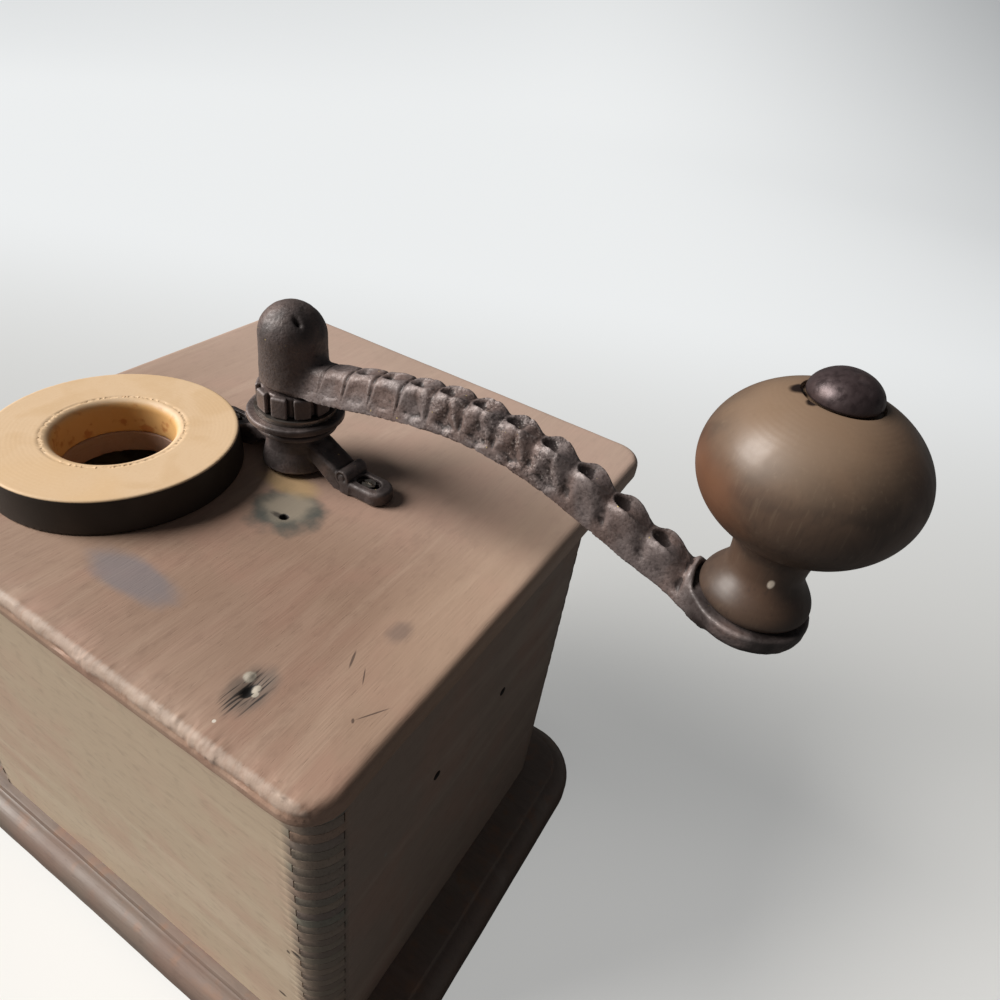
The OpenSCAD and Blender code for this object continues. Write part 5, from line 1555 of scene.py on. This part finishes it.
@dataclass
class Finishes:
    """Every material of the grinder."""

    top: Top
    knob: Knob

    @staticmethod
    def corner_band(s: Surface, colour: Socket) -> Socket:
        """End grain of the finger joint: each row has a tone of its own, from grey and tan to reddish tan."""
        joint, tone = s.attribute("joint"), s.attribute("tone")
        shade = add(s.tree, "ShaderNodeValToRGB", {"Fac": tone},
                    ((0.0, "#6E625C"), (1.0, "#7E7068"), (0.28, "#8E7C6E"), (0.5, "#6F746A"), (0.7, "#A58470"),
                     (0.86, "#786C66"))).outputs[0]
        fine = s.grain([0.5, 0.5, 0.9], 2.0)
        shade = s.tint(shade, "#4A403A", s.span(fine, 0.5, 0.75, 0.45))
        low = add(s.tree, "ShaderNodeSeparateXYZ", {0: s.place}).outputs["Z"]
        shade = s.tint(shade, "#867668", s.span(low, 105.0 * MM, 60.0 * MM, 0.8))
        return s.tint(colour, shade, s.sum(joint, 0.85))

    def lit_wall_marks(self, s: Surface, colour: Socket) -> Socket:
        """The finger joint itself, and gouges."""
        colour = self.corner_band(s, colour)
        for x, z, a, b in ((-71.3, 73.9, 1.6, 0.5), (-68.5, 71.5, 0.6, 0.4), (-64.0, 36.8, 1.4, 0.5)):
            dent = s.near((x, 62.5, z), (a, 3.0, b + 0.3), 0.35, 0.4)
            colour = s.tint(colour, "#2A211C", s.sum(dent, 0.85))
        return colour

    def dark_wall_marks(self, s: Surface, colour: Socket) -> Socket:
        """Finger joint and a pale speck on the dark wall."""
        colour = self.corner_band(s, colour)
        return s.tint(colour, "#9A948E", s.near((-80.5, 39.3, 96.7), (3.0, 0.5, 0.7), 0.4))

    def base_marks(self, s: Surface, colour: Socket) -> Socket:
        """Rubbed high places on the base's rounded edge."""
        rough = s.grain([6.0] * 3, 4.0)
        rubbed = s.sum(s.attribute("wear"), s.span(rough, 0.5, 0.7))
        return s.tint(colour, "#8C6A54", s.sum(rubbed, 0.6))

    def build(self) -> dict[str, bpy.types.Material]:
        """Makes the materials and gives them by the name of what they dress."""
        out: dict[str, bpy.types.Material] = {}
        out["top_board"] = BoardWood(
            "stained_top_board", Axis.Y, "#A08471", "#7C6152", "#B69C88", "#A58270", fibre=0.5, band=9.0,
            streak=0.24, mottle=0.28, pores=0.3).dress(self.top.marks)
        lit = dict(base="#C4B098", dark="#9A8774", pale="#D2C2AA", warm="#BFA38E")
        out["back_wall"] = BoardWood("sunlit_wall_board", Axis.X, streak=0.18, mottle=0.34, band=14.0, **lit).dress(
            self.lit_wall_marks)
        out["left_wall"] = BoardWood("side_wall_board", Axis.Y, streak=0.36, band=12.0, **lit).dress(
            self.corner_band)
        out["front_rail"] = BoardWood("front_board", Axis.X, streak=0.36, band=12.0, **lit).dress(
            self.corner_band)
        out["drawer_front"] = BoardWood("drawer_front_board", Axis.X, streak=0.36, band=11.0, **lit).dress()
        out["right_wall"] = BoardWood(
            "shaded_wall_board", Axis.Y, "#9A877A", "#7A685C", "#AC9A8C", "#A08475", streak=0.22,
            band=12.0).dress(self.dark_wall_marks)
        out["base_board"] = BoardWood(
            "moulded_base_board", Axis.X, "#796A60", "#5A4B43", "#8C7D72", "#7B655A", streak=0.2,
            roughness=0.5).dress(self.base_marks)
        centre = tuple(self.top.collar.mid)
        out["feed_collar"] = TurnedWood(
            "bare_collar_wood", "#E6C7A2", "#DAB88E", "#E4C092", "#EBD3B0", centre, ring=1.1,
            roughness=0.55, cloud=16.0, rings=0.08).dress(self.top.collar_marks)
        knob_at = (*self.knob.knob.mid[:2], 0.0)
        out["crank_knob"] = TurnedWood(
            "polished_knob_wood", "#574539", "#362B25", "#604738", "#736352", knob_at, rings=0.07,
                                          roughness=0.43).dress(self.knob.marks)
        out["drawer_knob"] = TurnedWood(
            "drawer_knob_wood", "#624834", "#3A281E", "#704A32", "#7E6450", (0.0, 0.0, 0.0), Axis.Y).dress()
        inner = BoardWood("inner_box_wood", Axis.X, "#A98C66", "#7E6446", "#C2A880", "#AE8458").dress()
        iron = CastIron("lacquered_cast_iron", "#706563", "#2A2221", "#938886", "#6B5750", specks=True)
        out["iron"] = iron.dress()
        out["loose_iron"] = CastIron(
            "plain_cast_iron", "#453B39", "#1A1413", "#6E6260", "#4A3630").dress(worn=False)
        out["rivet"] = CastIron(
            "hammered_rivet_iron", "#4C4041", "#1E1718", "#6E6264", "#523E3A", gloss=0.38,
            metal=0.5, grit=1.4, relief=0.08).dress(worn=False)
        out["steel"] = BrightMetal("worn_shaft_steel", "#8B8580", "#5A4C42", 0.36).dress()
        out["screws"] = BrightMetal("old_screw_steel", "#8E8982", "#4E4036", 0.42, 2.0).dress()
        out["nails"] = BrightMetal("blackened_nail_iron", "#3C3734", "#241E1B", 0.55, 1.5).dress()
        out["tin"] = BrightMetal("tinned_sheet", "#B7B3A8", "#8F877A", 0.38, 9.0).dress()
        out["inner"] = inner
        return out


CARRIED_OVER = {
    "inner": ("partition_board", "drawer_left_side", "drawer_right_side", "drawer_back", "drawer_bottom"),
    "nails": ("partition_nails", "funnel_tacks", "drawer_nails"),
    "screws": ("base_screws", "casing_screws", "bearing_bar_screws", "bridge_screws", "crank_set_screw",
               "drawer_knob_screw"),
    "tin": ("bean_funnel",),
    "loose_iron": ("burr_casing", "bearing_bar", "grinding_cone"),
    "steel": ("thrust_washer", "spindle", "cone_pin"),
}


def dress_carried_over(finishes: dict[str, bpy.types.Material]) -> None:
    """Gives each construction node that stays in sight or inside its own finish."""
    for finish, nodes in CARRIED_OVER.items():
        for name in nodes:
            node = frame["nodes"][name]
            node.data.materials.clear()
            node.data.materials.append(finishes[finish])
        LOG.info("%s finish on %s", finish, ", ".join(nodes))


def main() -> None:
    """Builds the studio, then each sub-assembly in turn."""
    logging.basicConfig(level=logging.INFO, format="%(name)s: %(message)s")
    Studio().build()
    top, knob = Top(), Knob()
    finishes = Finishes(top, knob).build()
    Case().build(finishes)
    top.build(finishes)
    Bridge().build(finishes["iron"])
    Crank().build(finishes["iron"])
    knob.build(finishes["crank_knob"], finishes["rivet"])
    Drawer().build(finishes["drawer_front"], finishes["drawer_knob"])
    dress_carried_over(finishes)


if __name__ == "__main__":
    main()
